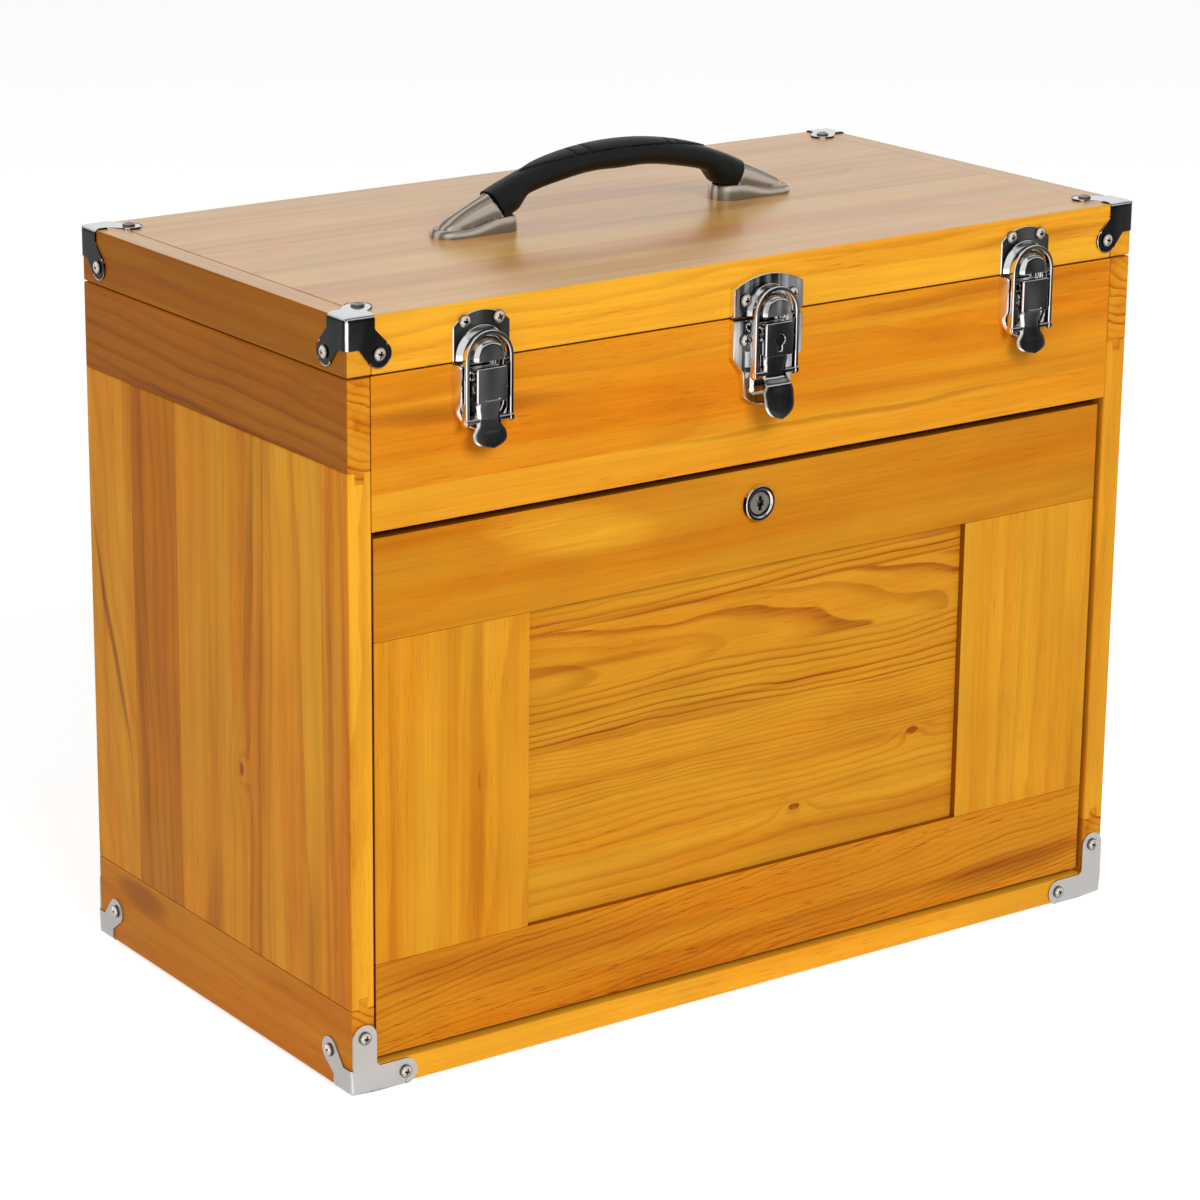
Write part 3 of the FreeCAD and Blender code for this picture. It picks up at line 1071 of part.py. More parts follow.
def lever(name, middle, extra, flare_half, flare, tip, tip_out, keyhole=None):
    """A lever: a box open to the case, cheeks down to the loop's pin, and the thumb tongue."""
    out, inn = "lever_half_width", "(lever_half_width - plate_gauge)"
    front, back = f"(lever_front + {extra})", f"(lever_back + {extra})"
    curve = f"({front} - lever_corner)"
    side = "(lever_half_width - lever_corner)"
    swing = f"lever_corner * {1 - math.sqrt(0.5)}"
    channel = plate(f"{name}Channel", "xy", [
        (f"({middle} - {out})", off_wood(back)),
        (f"({middle} - {out})", off_wood(curve),
         (f"({middle} - ({out} - {swing}))", off_wood(f"{front} - {swing}"))),
        (f"({middle} - {side})", off_wood(front)),
        (f"({middle} + {side})", off_wood(front),
         (f"({middle} + ({out} - {swing}))", off_wood(f"{front} - {swing}"))),
        (f"({middle} + {out})", off_wood(curve)),
        (f"({middle} + {out})", off_wood(back)),
        (f"({middle} + {inn})", off_wood(back)),
        (f"({middle} + {inn})", off_wood(f"{front} - plate_gauge")),
        (f"({middle} - {inn})", off_wood(f"{front} - plate_gauge")),
        (f"({middle} - {inn})", off_wood(back)),
    ], from_seam("-lever_box_drop"), from_seam("-lever_top_drop"))
    cap_x = (f"({middle} - {inn})", f"({middle} + {inn})")
    cap_y = (off_wood(f"{front} - plate_gauge"), off_wood(back))
    cheek_y = (off_wood(f"{front} - tongue_step"), off_wood(back))
    cheek_z = (from_seam("-cheek_drop"), from_seam("-lever_box_drop"))
    parts = [
        channel,
        board(f"{name}CapTop", cap_x, cap_y,
              (from_seam("-lever_top_drop - plate_gauge"), from_seam("-lever_top_drop"))),
        board(f"{name}CapBottom", cap_x, cap_y,
              (from_seam("-lever_box_drop"), from_seam("-lever_box_drop + plate_gauge"))),
        board(f"{name}CheekLeft", (f"({middle} - {out})", cap_x[0]), cheek_y, cheek_z),
        board(f"{name}CheekRight", (cap_x[1], f"({middle} + {out})"), cheek_y, cheek_z),
        tongue(f"{name}Tongue", middle, extra, flare_half, flare, tip, tip_out),
    ]
    pivot = lever_pin(f"{name}Pivot", middle, extra, "(latch_pin_radius + running_clearance)")
    pin_depth = f"(loop_back + loop_depth / 2 + {extra})"
    reach = "(loop_half_width + loop_pin_overhang)"
    centre = (off_wood(pin_depth), from_seam("-loop_pin_drop"))
    loop_pin = rod(f"{name}LoopPin", "x", "latch_pin_radius", centre,
                   f"({middle} - {reach})", f"({middle} + {reach})")
    tools = group(f"{name}Tools", [pivot, loop_pin] + (keyhole or []))
    return group(name, [cut(f"{name}Body", fuse(f"{name}Blank", parts), tools), loop_pin])


def loop(name, middle, extra):
    """A flat strip bent round the catch and the lever, with an eye at the foot of each leg."""
    back, front = f"loop_back + {extra}", f"loop_back + loop_depth + {extra}"
    out, inn = "loop_half_width", "(loop_half_width - loop_strip)"
    foot = from_seam("-loop_pin_drop")
    arch = from_seam("boss_rise")
    strip = plate(f"{name}Strip", "xz", [
        (f"({middle} - {out})", foot),
        (f"({middle} - {out})", arch, (middle, from_seam(f"boss_rise + {out}"))),
        (f"({middle} + {out})", arch),
        (f"({middle} + {out})", foot),
        (f"({middle} + {inn})", foot),
        (f"({middle} + {inn})", arch, (middle, from_seam(f"boss_rise + {inn}"))),
        (f"({middle} - {inn})", arch),
        (f"({middle} - {inn})", foot),
    ], off_wood(front), off_wood(back))
    centre = (off_wood(f"{back} + loop_depth / 2"), foot)
    eyes = [rod(f"{name}Eye{side}", "x", "loop_eye_radius", centre, f"({middle} + {low})",
                f"({middle} + {high})")
            for side, low, high in (("Left", f"(-{out})", f"(-{inn})"), ("Right", inn, out))]
    bore = rod(f"{name}Bore", "x", "(latch_pin_radius + running_clearance)", centre,
               f"({middle} - {out})", f"({middle} + {out})")
    return cut(name, fuse(f"{name}Blank", [strip] + eyes), bore)


outer_catch = catch_plate("OuterCatch", OUTER, "(catch_width / 2)", "catch_shoulder", "catch_rise",
                          "plate_gauge", "dome_radius", "0", lid_holes)
node(both_sides("OuterCatches", outer_catch), "outer_catch_plates")
node(catch_plate("CentreCatch", "0", "(mid_catch_width / 2)", "mid_catch_shoulder", "mid_catch_rise",
                 "mid_plate_gauge", "mid_dome_radius", "mid_lever_offset", lid_holes), "centre_catch_plate")
node(both_sides("OuterBases", outer_base("OuterBase", OUTER)), "outer_latch_bases")
node(centre_base("CentreBase"), "centre_latch_base")
left_pin = lever_pin("LeverPinLeft", OUTER, "0", "latch_pin_radius")
node(group("LeverPins", [both_sides("OuterLeverPins", left_pin),
                         lever_pin("LeverPinCentre", "0", "mid_lever_offset", "latch_pin_radius")]),
     "latch_lever_pins")
left_lever = node(lever("LeftLever", OUTER, "0", "flare_half_width", "flare_drop", "tip_drop", "tip_reach"),
                  "left_latch_lever")
node(mirrored("RightLever", left_lever), "right_latch_lever")
left_loop = node(loop("LeftLoop", OUTER, "0"), "left_latch_loop")
node(mirrored("RightLoop", left_loop), "right_latch_loop")
mid_front = "(lever_front + mid_lever_offset)"
keyhole_y = (off_wood(mid_front), off_wood(f"{mid_front} - plate_gauge"))
keyhole = [
    rod("KeyholeRound", "y", "keyhole_radius", ("0", from_seam("-keyhole_drop")), *keyhole_y),
    board("KeyholeSlit", ("(-keyhole_slit_width / 2)", "(keyhole_slit_width / 2)"), keyhole_y,
          (from_seam("-keyhole_drop - keyhole_slit_length"), from_seam("-keyhole_drop"))),
]
node(lever("CentreLever", "0", "mid_lever_offset", "mid_flare_half_width", "mid_flare_drop", "mid_tip_drop",
           "mid_tip_reach", keyhole), "centre_latch_lever")
node(loop("CentreLoop", "0", "mid_lever_offset"), "centre_latch_loop")
bolt_half = "(lever_half_width - plate_gauge - bolt_play)"
bolt_z = from_seam("-lever_box_drop + plate_gauge + bolt_play")
bolt_y = off_wood(f"{mid_front} - plate_gauge - bolt_play")
node(board("LatchBolt", (f"(-{bolt_half})", bolt_half), (bolt_y, f"({bolt_y} + bolt_plate_thickness)"),
           (bolt_z, f"({bolt_z} + bolt_plate_height)")), "centre_latch_bolt")

# Check every object, then write each sub-part

doc.recompute()
for item in doc.Objects:
    if {"Invalid", "Error"} & set(item.State):
        raise RuntimeError(f"{item.Name} failed: {item.State}")
os.makedirs("parts", exist_ok=True)
for item in nodes:
    shape = item.Shape
    if shape.isNull() or not shape.isValid() or not shape.Solids:
        raise RuntimeError(f"{item.Label} has no valid solid")
    shape.exportStep(os.path.join("parts", f"{item.Label}.step"))
    box = shape.BoundBox
    print(f"{item.Label:32s} solids {len(shape.Solids):3d}  volume {shape.Volume:10.0f}  "
          f"x {box.XMin:7.1f} {box.XMax:7.1f}  y {box.YMin:7.1f} {box.YMax:7.1f}  "
          f"z {box.ZMin:7.1f} {box.ZMax:7.1f}")
print(len(nodes), "sub-parts")
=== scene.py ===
"""The looks of a wooden machinist toolbox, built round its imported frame."""
import json
import math
import random
from collections import namedtuple
from functools import partial

import bmesh
import bpy
from bpy.props import FloatProperty, FloatVectorProperty, IntProperty, PointerProperty
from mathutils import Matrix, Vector


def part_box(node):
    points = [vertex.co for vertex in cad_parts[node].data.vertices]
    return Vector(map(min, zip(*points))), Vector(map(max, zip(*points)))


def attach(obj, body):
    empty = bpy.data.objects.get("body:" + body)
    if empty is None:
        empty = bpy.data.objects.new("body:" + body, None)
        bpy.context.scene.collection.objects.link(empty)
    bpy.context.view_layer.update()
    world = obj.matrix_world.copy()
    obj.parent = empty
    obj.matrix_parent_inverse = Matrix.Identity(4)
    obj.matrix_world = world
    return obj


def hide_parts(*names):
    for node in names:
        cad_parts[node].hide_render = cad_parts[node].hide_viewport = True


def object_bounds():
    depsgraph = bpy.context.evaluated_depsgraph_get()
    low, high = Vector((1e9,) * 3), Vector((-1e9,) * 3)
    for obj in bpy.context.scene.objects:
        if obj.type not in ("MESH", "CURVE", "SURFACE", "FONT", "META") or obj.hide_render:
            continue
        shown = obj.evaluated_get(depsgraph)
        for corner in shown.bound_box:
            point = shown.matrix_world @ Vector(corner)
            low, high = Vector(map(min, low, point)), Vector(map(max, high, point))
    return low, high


bl_info = {
    "name": "Machinist Toolbox",
    "version": (1, 0, 0),
    "blender": (4, 5, 0),
    "location": "3D View > Sidebar > Toolbox",
    "description": "Boards, felt and bright fittings of a wooden machinist toolbox",
    "category": "Object",
}

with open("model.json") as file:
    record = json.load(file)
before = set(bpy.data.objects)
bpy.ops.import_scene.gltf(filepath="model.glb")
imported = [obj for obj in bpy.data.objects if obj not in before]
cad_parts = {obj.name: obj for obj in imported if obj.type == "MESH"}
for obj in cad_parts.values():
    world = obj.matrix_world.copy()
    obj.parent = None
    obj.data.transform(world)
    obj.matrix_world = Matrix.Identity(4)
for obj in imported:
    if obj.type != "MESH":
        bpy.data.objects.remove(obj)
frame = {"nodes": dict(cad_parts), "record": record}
CAD_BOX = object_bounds()
NODE_BODY = {
    node: body
    for body, nodes in frame["record"]["behaviour"]["bodies"].items()
    for node in nodes
}
MM = 0.001
AXES = "XYZ"
SMALL_DRAWERS = (
    "left_lower_drawer",
    "left_middle_drawer",
    "left_upper_drawer",
    "right_lower_drawer",
    "right_middle_drawer",
    "right_upper_drawer",
    "middle_tall_drawer",
)


# Sizes and colours that a user would change


def colour(name, description, default):
    """A colour setting."""
    return FloatVectorProperty(
        name=name, description=description, subtype="COLOR", size=3, min=0, max=1, default=default
    )


def length(name, description, millimetres):
    """A length setting, given in millimetres."""
    return FloatProperty(
        name=name, description=description, unit="LENGTH", min=0, default=millimetres * MM
    )


def share(name, description, default):
    """A setting from 0 to 1."""
    return FloatProperty(
        name=name, description=description, subtype="FACTOR", min=0, max=1, default=default
    )


class StageSettings(bpy.types.PropertyGroup):
    """Lamps, floor and lens."""

    key_power: FloatProperty(
        name="Key lamp", description="Power of the large lamp in front", unit="POWER", default=52
    )
    fill_power: FloatProperty(
        name="Fill lamp", description="Power of the lamp at the left", unit="POWER", default=16
    )
    sky: share("Sky", "Even light from all round", 0.42)
    lens: FloatProperty(
        name="Lens", description="Focal length", subtype="DISTANCE_CAMERA", default=115.37
    )


class WoodSettings(bpy.types.PropertyGroup):
    """Colours and edges of the boards."""

    pale: colour("Early wood", "Lacquered pale rings", (0.90, 0.425, 0.026))
    dark: colour("Late wood", "Lacquered dark rings", (0.40, 0.08, 0.004))
    amber: colour("Amber wood", "Tone of the redder boards", (0.74, 0.225, 0.006))
    top_pale: colour("Lid top", "Pale rings of the planks on top", (0.86, 0.47, 0.105))
    top_dark: colour("Lid top rings", "Dark rings of the planks on top", (0.50, 0.20, 0.035))
    inner_pale: colour("Inner wood", "Pale rings inside", (0.72, 0.42, 0.135))
    inner_dark: colour("Inner rings", "Dark rings inside", (0.46, 0.20, 0.05))
    corner_round: length("Case corners", "Rounding of the outer corners", 1.1)
    edge_round: length("Board edges", "Rounding of the inner boards' edges", 0.5)


class MetalSettings(bpy.types.PropertyGroup):
    """Colours of the fittings."""

    # Chrome is the painted bright reflection of the plated finishes, and Chrome shade is their painted
    # dark reflection
    chrome: colour("Chrome", "Bright faces of the plated fittings", (0.86, 0.86, 0.87))
    chrome_shade: colour("Chrome shade", "Faces that mirror the dark room", (0.008, 0.008, 0.0085))
    screw: colour("Screws", "Bright nickel of the screw heads", (0.70, 0.64, 0.57))
    steel: colour("Corner steel", "Plain steel of the foot brackets", (0.47, 0.47, 0.46))
    nickel: colour("Satin nickel", "Ends of the handle", (0.50, 0.425, 0.345))
    grip: colour("Grip", "Black plastic of the handle", (0.005, 0.0055, 0.006))
    felt: colour("Felt", "Lining of the till and the lid", (0.035, 0.11, 0.055))
    edge_round: length("Pressed edges", "Rounding of the pressed plates", 0.35)
    corner_bend: length("Corner bends", "Bends of the corner brackets", 3.2)
    corner_curve: length("Corner curves", "Curves in the outline of the corner brackets", 3.0)


class ScrewSettings(bpy.types.PropertyGroup):
    """Round-headed cross-slot screws."""

    head_radius: length("Head radius", "Radius of a screw head", 3.5)
    head_height: length("Head height", "Height of a screw head", 2.2)
    slot_reach: length("Slot reach", "Reach of the cross slot from the middle", 1.5)
    slot_width: length("Slot width", "Width of the cross slot", 0.75)
    ring_count: IntProperty(name="Rings", description="Rings of faces on a head", default=16, min=4)


# Node trees


def maths(operation, swapped=False):
    """A method of Signal: a Math node on it and on what it is given."""

    def method(self, *others):
        values = (*others, self) if swapped else (self, *others)
        return self.sheet.add("ShaderNodeMath", {"operation": operation}, dict(enumerate(values)))

    return method


class Signal:
    """A socket of a node tree that takes part in sums."""

    def __init__(self, sheet, socket):
        self.sheet = sheet
        self.socket = socket

    __add__ = maths("ADD")
    __radd__ = maths("ADD", swapped=True)
    __sub__ = maths("SUBTRACT")
    __rsub__ = maths("SUBTRACT", swapped=True)
    __mul__ = maths("MULTIPLY")
    __rmul__ = maths("MULTIPLY", swapped=True)
    __truediv__ = maths("DIVIDE")
    __rtruediv__ = maths("DIVIDE", swapped=True)
    __pow__ = maths("POWER")
    floor = maths("FLOOR")
    fraction = maths("FRACT")
    larger = maths("MAXIMUM")
    smaller = maths("MINIMUM")
    size = maths("ABSOLUTE")

    def ramp(self, low, high):
        """0 at low, 1 at high, with a soft start and end."""
        values = {"Value": self, "From Min": low, "From Max": high}
        return self.sheet.add("ShaderNodeMapRange", {"interpolation_type": "SMOOTHSTEP"}, values)

    def band(self, start, full, fade, stop):
        """1 between full and fade, and 0 outside start and stop."""
        return self.ramp(start, full) * (1.0 - self.ramp(fade, stop))


class Sheet:
    """A node tree that is being built."""

    def __init__(self, tree):
        self.nodes = tree.nodes
        self.links = tree.links
        self.nodes.clear()

    def add(self, kind, settings=None, values=None, output=0):
        """Adds a node: its settings first, then its sockets' values and links."""
        node = self.nodes.new(kind)
        for name, value in (settings or {}).items():
            setattr(node, name, value)
        for key, value in (values or {}).items():
            if isinstance(value, Signal):
                self.links.new(value.socket, node.inputs[key])
            else:
                node.inputs[key].default_value = value
        return Signal(self, node.outputs[output])

    def outlets(self, kind, values=None):
        """Every output of a new node, by its name."""
        node = self.add(kind, values=values).socket.node
        return {socket.name: Signal(self, socket) for socket in node.outputs}

    def end(self, kind, name, result):
        """Joins the result to the tree's output node."""
        self.links.new(result.socket, self.nodes.new(kind).inputs[name])


class Finish(Sheet):
    """A material and its nodes."""

    def __init__(self, name):
        self.material = bpy.data.materials.new(name)
        self.material.use_nodes = True
        super().__init__(self.material.node_tree)

    def parts(self, vector):
        """The three parts of a vector."""
        return list(self.outlets("ShaderNodeSeparateXYZ", {0: vector}).values())

    def attribute(self, name):
        """The three parts of an attribute of the mesh."""
        read = self.add("ShaderNodeAttribute", {"attribute_name": name}, output="Vector")
        return self.parts(read)

    def facing(self):
        """The three parts of the direction that a face looks in, on the object."""
        return self.parts(self.add("ShaderNodeTexCoord", output="Normal"))

    def noise(self, scale, detail=2.0, roughness=0.5, where=None):
        """Soft noise round 0.5 on the object, in metres, or at another place.
        Three scales stretch it along the axes."""
        where = where or self.add("ShaderNodeTexCoord", output="Object")
        if isinstance(scale, tuple):
            where = self.add("ShaderNodeVectorMath", {"operation": "MULTIPLY"}, {0: where, 1: scale})
            scale = 1.0
        values = {"Vector": where, "Scale": scale, "Detail": detail, "Roughness": roughness}
        return self.add("ShaderNodeTexNoise", {"noise_dimensions": "3D"}, values)

    def chance(self, value):
        """A random number for each whole number."""
        return self.add("ShaderNodeTexWhiteNoise", {"noise_dimensions": "1D"}, {"W": value})

    def blend(self, factor, first, second):
        """Mixes two colours."""
        values = {0: factor, 6: rgba(first), 7: rgba(second)}
        return self.add("ShaderNodeMix", {"data_type": "RGBA", "clamp_factor": True}, values, output=2)

    def lighten(self, tone, factor):
        """A colour times a number."""
        tone = tone if isinstance(tone, Signal) else self.blend(1.0, tone, tone)
        return self.add("ShaderNodeVectorMath", {"operation": "SCALE"}, {0: tone, "Scale": factor})

    def bump(self, height, depth, strength):
        """A normal from a height, whose full range is this deep in metres."""
        values = {"Height": height, "Distance": depth, "Strength": strength}
        return self.add("ShaderNodeBump", values=values)

    def surface(self, tone, roughness, values):
        """Ends the tree in a surface shader, and gives the material."""
        values = {"Base Color": tone, "Roughness": roughness, **values}
        return self.made(self.add("ShaderNodeBsdfPrincipled", values=values))

    def made(self, shader):
        """Ends the tree in a shader, and gives the material."""
        self.end("ShaderNodeOutputMaterial", "Surface", shader)
        return self.material


def rgba(value):
    """A colour with its alpha, or a link as it is."""
    return value if isinstance(value, Signal) else (*value, 1)


# Finishes


def finish(name):
    """A finish by its name, made when first asked for."""
    made = name + "_finish"
    return bpy.data.materials.get(made) or FINISHES[name](made)


def wood(name, tones, gloss, pores=0.0):
    """Lacquered wood: rings round a pith, fibres, dark dashes and broad changes of tone.
    Tones names the settings, and gloss is the shine, the coat and the coat's roughness."""
    paint = bpy.context.scene.toolbox_wood
    pale, dark, amber = [getattr(paint, tone) for tone in tones]
    tree = Finish(name)
    along, across, depth = tree.attribute("grain")
    pith_across, pith_depth, spacing = tree.attribute("pith")
    lean_across, lean_depth, seed = tree.attribute("lean")
    tone, redness, figure = tree.attribute("look")
    spot_along, spot_across, spot_length = tree.attribute("spot")
    spot_width, spot_lean, spot_weight = tree.attribute("spot_form")
    knot_along, knot_across, knot_size = tree.attribute("knot")
    start = along + seed * 613.0

    def at(x, y, z):
        return tree.add("ShaderNodeCombineXYZ", values={0: x, 1: y, 2: z})

    def streaks(per_along, per_across, detail=2.0):
        where = at(start * per_along, across * per_across, depth * per_across)
        return tree.noise(1.0, detail, where=where)

    # Rings that bend round a knot
    waver = streaks(0.009, 0.03) - 0.5
    heave = streaks(0.006, 0.017) - 0.5
    knot_run = (along - knot_along) / knot_size
    knot_side = (across - knot_across) / knot_size
    knot_gap = knot_run * knot_run * 0.3 + knot_side * knot_side
    eye = 1.0 / (1.0 + knot_gap * 0.16)
    side = across - pith_across - along * lean_across + waver * 16.0
    back = depth - pith_depth - along * lean_depth + heave * 22.0
    ring = (side * side + back * back) ** 0.5 / spacing + waver * 0.5 + eye * 2.2
    weight = tree.chance(ring.floor() + seed * 7.0)
    late = ring.fraction().band(0.45, 0.9, 0.93, 1.0) * (0.25 + weight * 0.75)

    # Fibres, dashes and clouds of tone
    fibre = streaks(0.012, 0.75, 3.0)
    fine = streaks(0.045, 3.1)
    broad = streaks(0.004, 0.028)
    band = streaks(0.0035, 0.075)
    dash = streaks(0.06, 1.25, 1.0).ramp(0.62, 0.73) * broad.ramp(0.35, 0.6)
    cloud = tree.noise(0.022, 1.0, where=at(start, across, depth))

    # A darker streak of its own on some boards; with a negative weight, a paler patch of painted
    # highlight
    spot_run = (along - spot_along) / spot_length
    spot_side = across - spot_across - (along - spot_along) * spot_lean + waver * 10.0
    spot_side = spot_side / spot_width
    spot = 1.0 - (spot_run * spot_run + spot_side * spot_side).ramp(0.0, 1.0)
    spot = spot * spot_weight * (0.75 + fibre * 0.5)

    level = tone * (1.0 + (broad - 0.5) * 0.3 + (fibre - 0.5) * 0.3 + (fine - 0.5) * 0.22)
    level = level * (1.0 + (cloud - 0.5) * 0.2) * (1.0 - spot * 0.18)
    redness = redness + spot.smaller(0.0) * 0.7 + (broad - 0.5) * 1.1 + (band - 0.5) * 1.1
    mark = late * figure * (0.75 + (fibre - 0.5) * 1.6) + dash * (0.34 + pores)
    mark = mark + band.ramp(0.55, 0.72) * figure * 0.4 + spot.larger(0.0) * 0.5
    mark = mark + (1.0 - knot_gap.ramp(0.5, 1.3)) * 0.8
    shade = tree.blend(mark, tree.blend(redness, pale, amber), dark)
    relief = fine * 0.5 + fibre * 0.5 - dash * (0.5 + pores * 2.0) - late * 0.4
    shine = {
        "Normal": tree.bump(relief, 0.00008, 0.5),
        "Specular IOR Level": gloss[0],
        "Coat Weight": gloss[1],
        "Coat Roughness": gloss[2],
    }
    roughness = 0.34 + (fibre - 0.5) * 0.16 + late * 0.05
    return tree.surface(tree.lighten(shade, level), roughness, shine)


OUTER_TONES = ("pale", "dark", "amber")
SATIN_LACQUER = (0.05, 0.0, 0.16)


def case_wood(name):
    """Honey-coloured lacquered pine of the outside."""
    return wood(name, OUTER_TONES, SATIN_LACQUER)


def rail_wood(name):
    """The redder, open-pored board at the bottom of the drop front."""
    return wood(name, OUTER_TONES, SATIN_LACQUER, pores=0.4)


def lid_top_wood(name):
    """Planks of the lid's top, under the glossiest lacquer."""
    return wood(name, ("top_pale", "top_dark", "amber"), (0.4, 0.7, 0.2))


def inner_wood(name):
    """Paler boards inside the case."""
    return wood(name, ("inner_pale", "inner_dark", "inner_dark"), (0.3, 0.1, 0.2))


METAL = {"Metallic": 1.0}


def chrome(name, glow=0.03, slant=1.0, flank=0.0, streak=0.0):
    """Bright plating with painted reflections: faces to the front are painted dark, as if mirroring a
    dark room, and faces upwards are painted bright, as if mirroring the lamps. The shares tell how bright
    its painted sheen, its painted slants, its painted steep left flanks and its painted streaks are."""
    paint = bpy.context.scene.toolbox_metal
    tree = Finish(name)
    x, y, z = tree.facing()
    wave = tree.noise(140.0, 1.0) - 0.5
    tilt = z + wave * 0.12
    turn = x + wave * 0.1
    # Masks of painted reflection by where each face looks: faces upwards, a highlight band on slopes,
    # left slants, steep left flanks, right slopes, faces that look down and faces to the back
    above = tilt.ramp(0.62, 0.86)
    line = tilt.band(0.42, 0.5, 0.56, 0.64) * 0.7
    steep = (0.0 - turn).ramp(0.72, 0.86)
    left = (0.0 - turn).ramp(0.36, 0.5) * (1.0 - steep) * slant + steep * flank
    right = turn.band(0.5, 0.62, 0.74, 0.9) * 0.6
    under = (0.0 - tilt).ramp(0.4, 0.6) * 0.3
    rear = y.ramp(0.2, 0.7) * 0.8
    # Noise patches of painted sheen and faint streaks of painted reflection
    painted_sheen = tree.noise((34.0, 34.0, 15.0)).ramp(0.42, 0.78) * glow
    painted_streaks = tree.noise((210.0, 60.0, 14.0), 3.0).ramp(0.42, 0.66) * streak
    # Every painted reflection together: 0 keeps the dark shade colour, 1 gives the bright colour
    light = above.larger(line).larger(left).larger(right).larger(under).larger(rear) + painted_sheen + painted_streaks
    # Faces that look down take a painted warm reflection of the wood
    painted_wood_tint = tree.blend((0.0 - tilt).ramp(0.0, 0.5), paint.chrome, (0.80, 0.62, 0.42))
    scuff = tree.noise(420.0, 3.0)
    # Faces outside the painted reflections keep the dark shade colour, a painted dark reflection
    tone = tree.blend(light, paint.chrome_shade, painted_wood_tint)
    return tree.surface(tone, 0.06 + (scuff - 0.5) * 0.06, METAL)


def latch_chrome(name):
    """Plating of the latches, whose steep left flanks are painted bright so that they mirror the wood
    beside them, with more painted sheen.
    """
    return chrome(name, glow=0.08, flank=1.0)


def plate_chrome(name):
    """Plating of the centre latch's catch plate, with much painted sheen and faint upright painted
    streaks of reflection.
    """
    return chrome(name, glow=0.24, slant=0.5, flank=1.0, streak=0.2)


def tray_chrome(name):
    """Plating of the latches' bases, painted bright with strong painted sheen and streaks, as a
    reflection of the bright side of the room.
    """
    return chrome(name, glow=0.4, flank=1.0, streak=0.5)


def lock_face(name):
    """The satin face of the front lock's plug, with short brush marks."""
    tree = Finish(name)
    marks = tree.noise((900.0, 240.0, 900.0), 3.0)
    patch = tree.noise(60.0)
    tone = tree.lighten((0.17, 0.155, 0.14), 1.0 + (marks - 0.5) * 0.12 + (patch - 0.5) * 0.1)
    relief = {"Normal": tree.bump(marks, 0.000002, 0.25)}
    return tree.surface(tone, 0.3 + (marks - 0.5) * 0.1, METAL | relief)


def dark_gap(name):
    """Painted shade for the inside of a keyhole: near-black, as the hole lies in shadow."""
    tree = Finish(name)
    shade = tree.blend(tree.noise(900.0), (0.004, 0.004, 0.004), (0.012, 0.011, 0.010))
    return tree.surface(shade, 0.7, {"Specular IOR Level": 0.1})


def screw_nickel(name):
    """Bright nickel with painted shade in its slots and round its rim, and a painted glint by the way
    each head looks.
    """
    paint = bpy.context.scene.toolbox_metal
    tree = Finish(name)
    sunk, rim, _ = tree.attribute("sunk")
    x, _, z = tree.facing()
    scuff = tree.noise(700.0)
    # Painted glint: brighter on heads that look up or to the left, broken up by the scuff noise, which
    # also sets the roughness
    glint = 0.32 + (z + scuff * 0.3).ramp(-0.1, 0.6) * 0.7 + (0.0 - x).ramp(0.1, 0.3) * 0.35
    # Painted shade on the tops of heads that look up, and round every head's rim
    shadow = z.ramp(0.7, 0.95) * rim.ramp(0.2, 0.55) * 0.75
    glint = glint * (1.0 - rim.ramp(0.7, 1.0) * 0.8) * (1.0 - shadow)
    # Slots are painted near-black by their depth, a painted shade
    tone = tree.lighten(tree.blend(sunk, paint.screw, (0.03, 0.027, 0.023)), glint)
    return tree.surface(tone, 0.16 + (scuff - 0.5) * 0.12, METAL)


def steel(name):
    """Plain steel of the foot brackets and hinges, with a painted highlight along its bends and painted
    shade on faces to the sides.
    """
    tree = Finish(name)
    sideways = tree.facing()[0].size()
    marks = tree.noise((900.0, 900.0, 240.0), 3.0)
    patch = tree.noise(60.0)
    # Painted highlight on faces turned partly sideways, as on the bends, and painted shade on faces
    # turned fully sideways
    level = 0.96 + sideways.band(0.5, 0.62, 0.72, 0.84) * 0.5 - sideways.ramp(0.88, 0.98) * 0.16
    level = level * (1.0 + (marks - 0.5) * 0.12 + (patch - 0.5) * 0.16)
    tone = tree.lighten(bpy.context.scene.toolbox_metal.steel, level)
    relief = {"Normal": tree.bump(marks, 0.000002, 0.25)}
    return tree.surface(tone, 0.36 + (marks - 0.5) * 0.1, METAL | relief)


def satin_nickel(name):
    """Satin nickel of the handle's ends, with soft painted bands of light along their curves, by the way
    each face looks.
    """
    tree = Finish(name)
    _, y, z = tree.facing()
    side = y.size()
    marks = tree.noise((90.0, 900.0, 500.0), 3.0)
    # Painted bands of reflected light by where each face looks; faces outside them keep a darker painted
    # shade
    level = 0.42 + side.band(0.05, 0.22, 0.34, 0.5) * 0.75 + side.band(0.62, 0.74, 0.82, 0.92) * 0.3
    level = level + z.band(0.1, 0.24, 0.4, 0.52) * side.ramp(0.5, 0.8) * 0.7
    tone = bpy.context.scene.toolbox_metal.nickel
    tone = tree.lighten(tone, level * (1.0 + (marks - 0.5) * 0.12))
    return tree.surface(tone, 0.25 + (marks - 0.5) * 0.08, METAL)


def grip_plastic(name, coarse=0.00006, roughness=0.3):
    """Black plastic with a fine moulded texture."""
    grip = bpy.context.scene.toolbox_metal.grip
    tree = Finish(name)
    pebble = tree.noise(1100.0)
    wear = tree.noise(45.0, 3.0)
    tone = tree.lighten(tree.blend(wear, grip, [1.7 * part for part in grip]), 0.8 + pebble * 0.4)
    relief = {"Specular IOR Level": 0.17, "Normal": tree.bump(pebble, coarse, 0.45)}
    return tree.surface(tone, roughness + (wear - 0.5) * 0.2, relief)


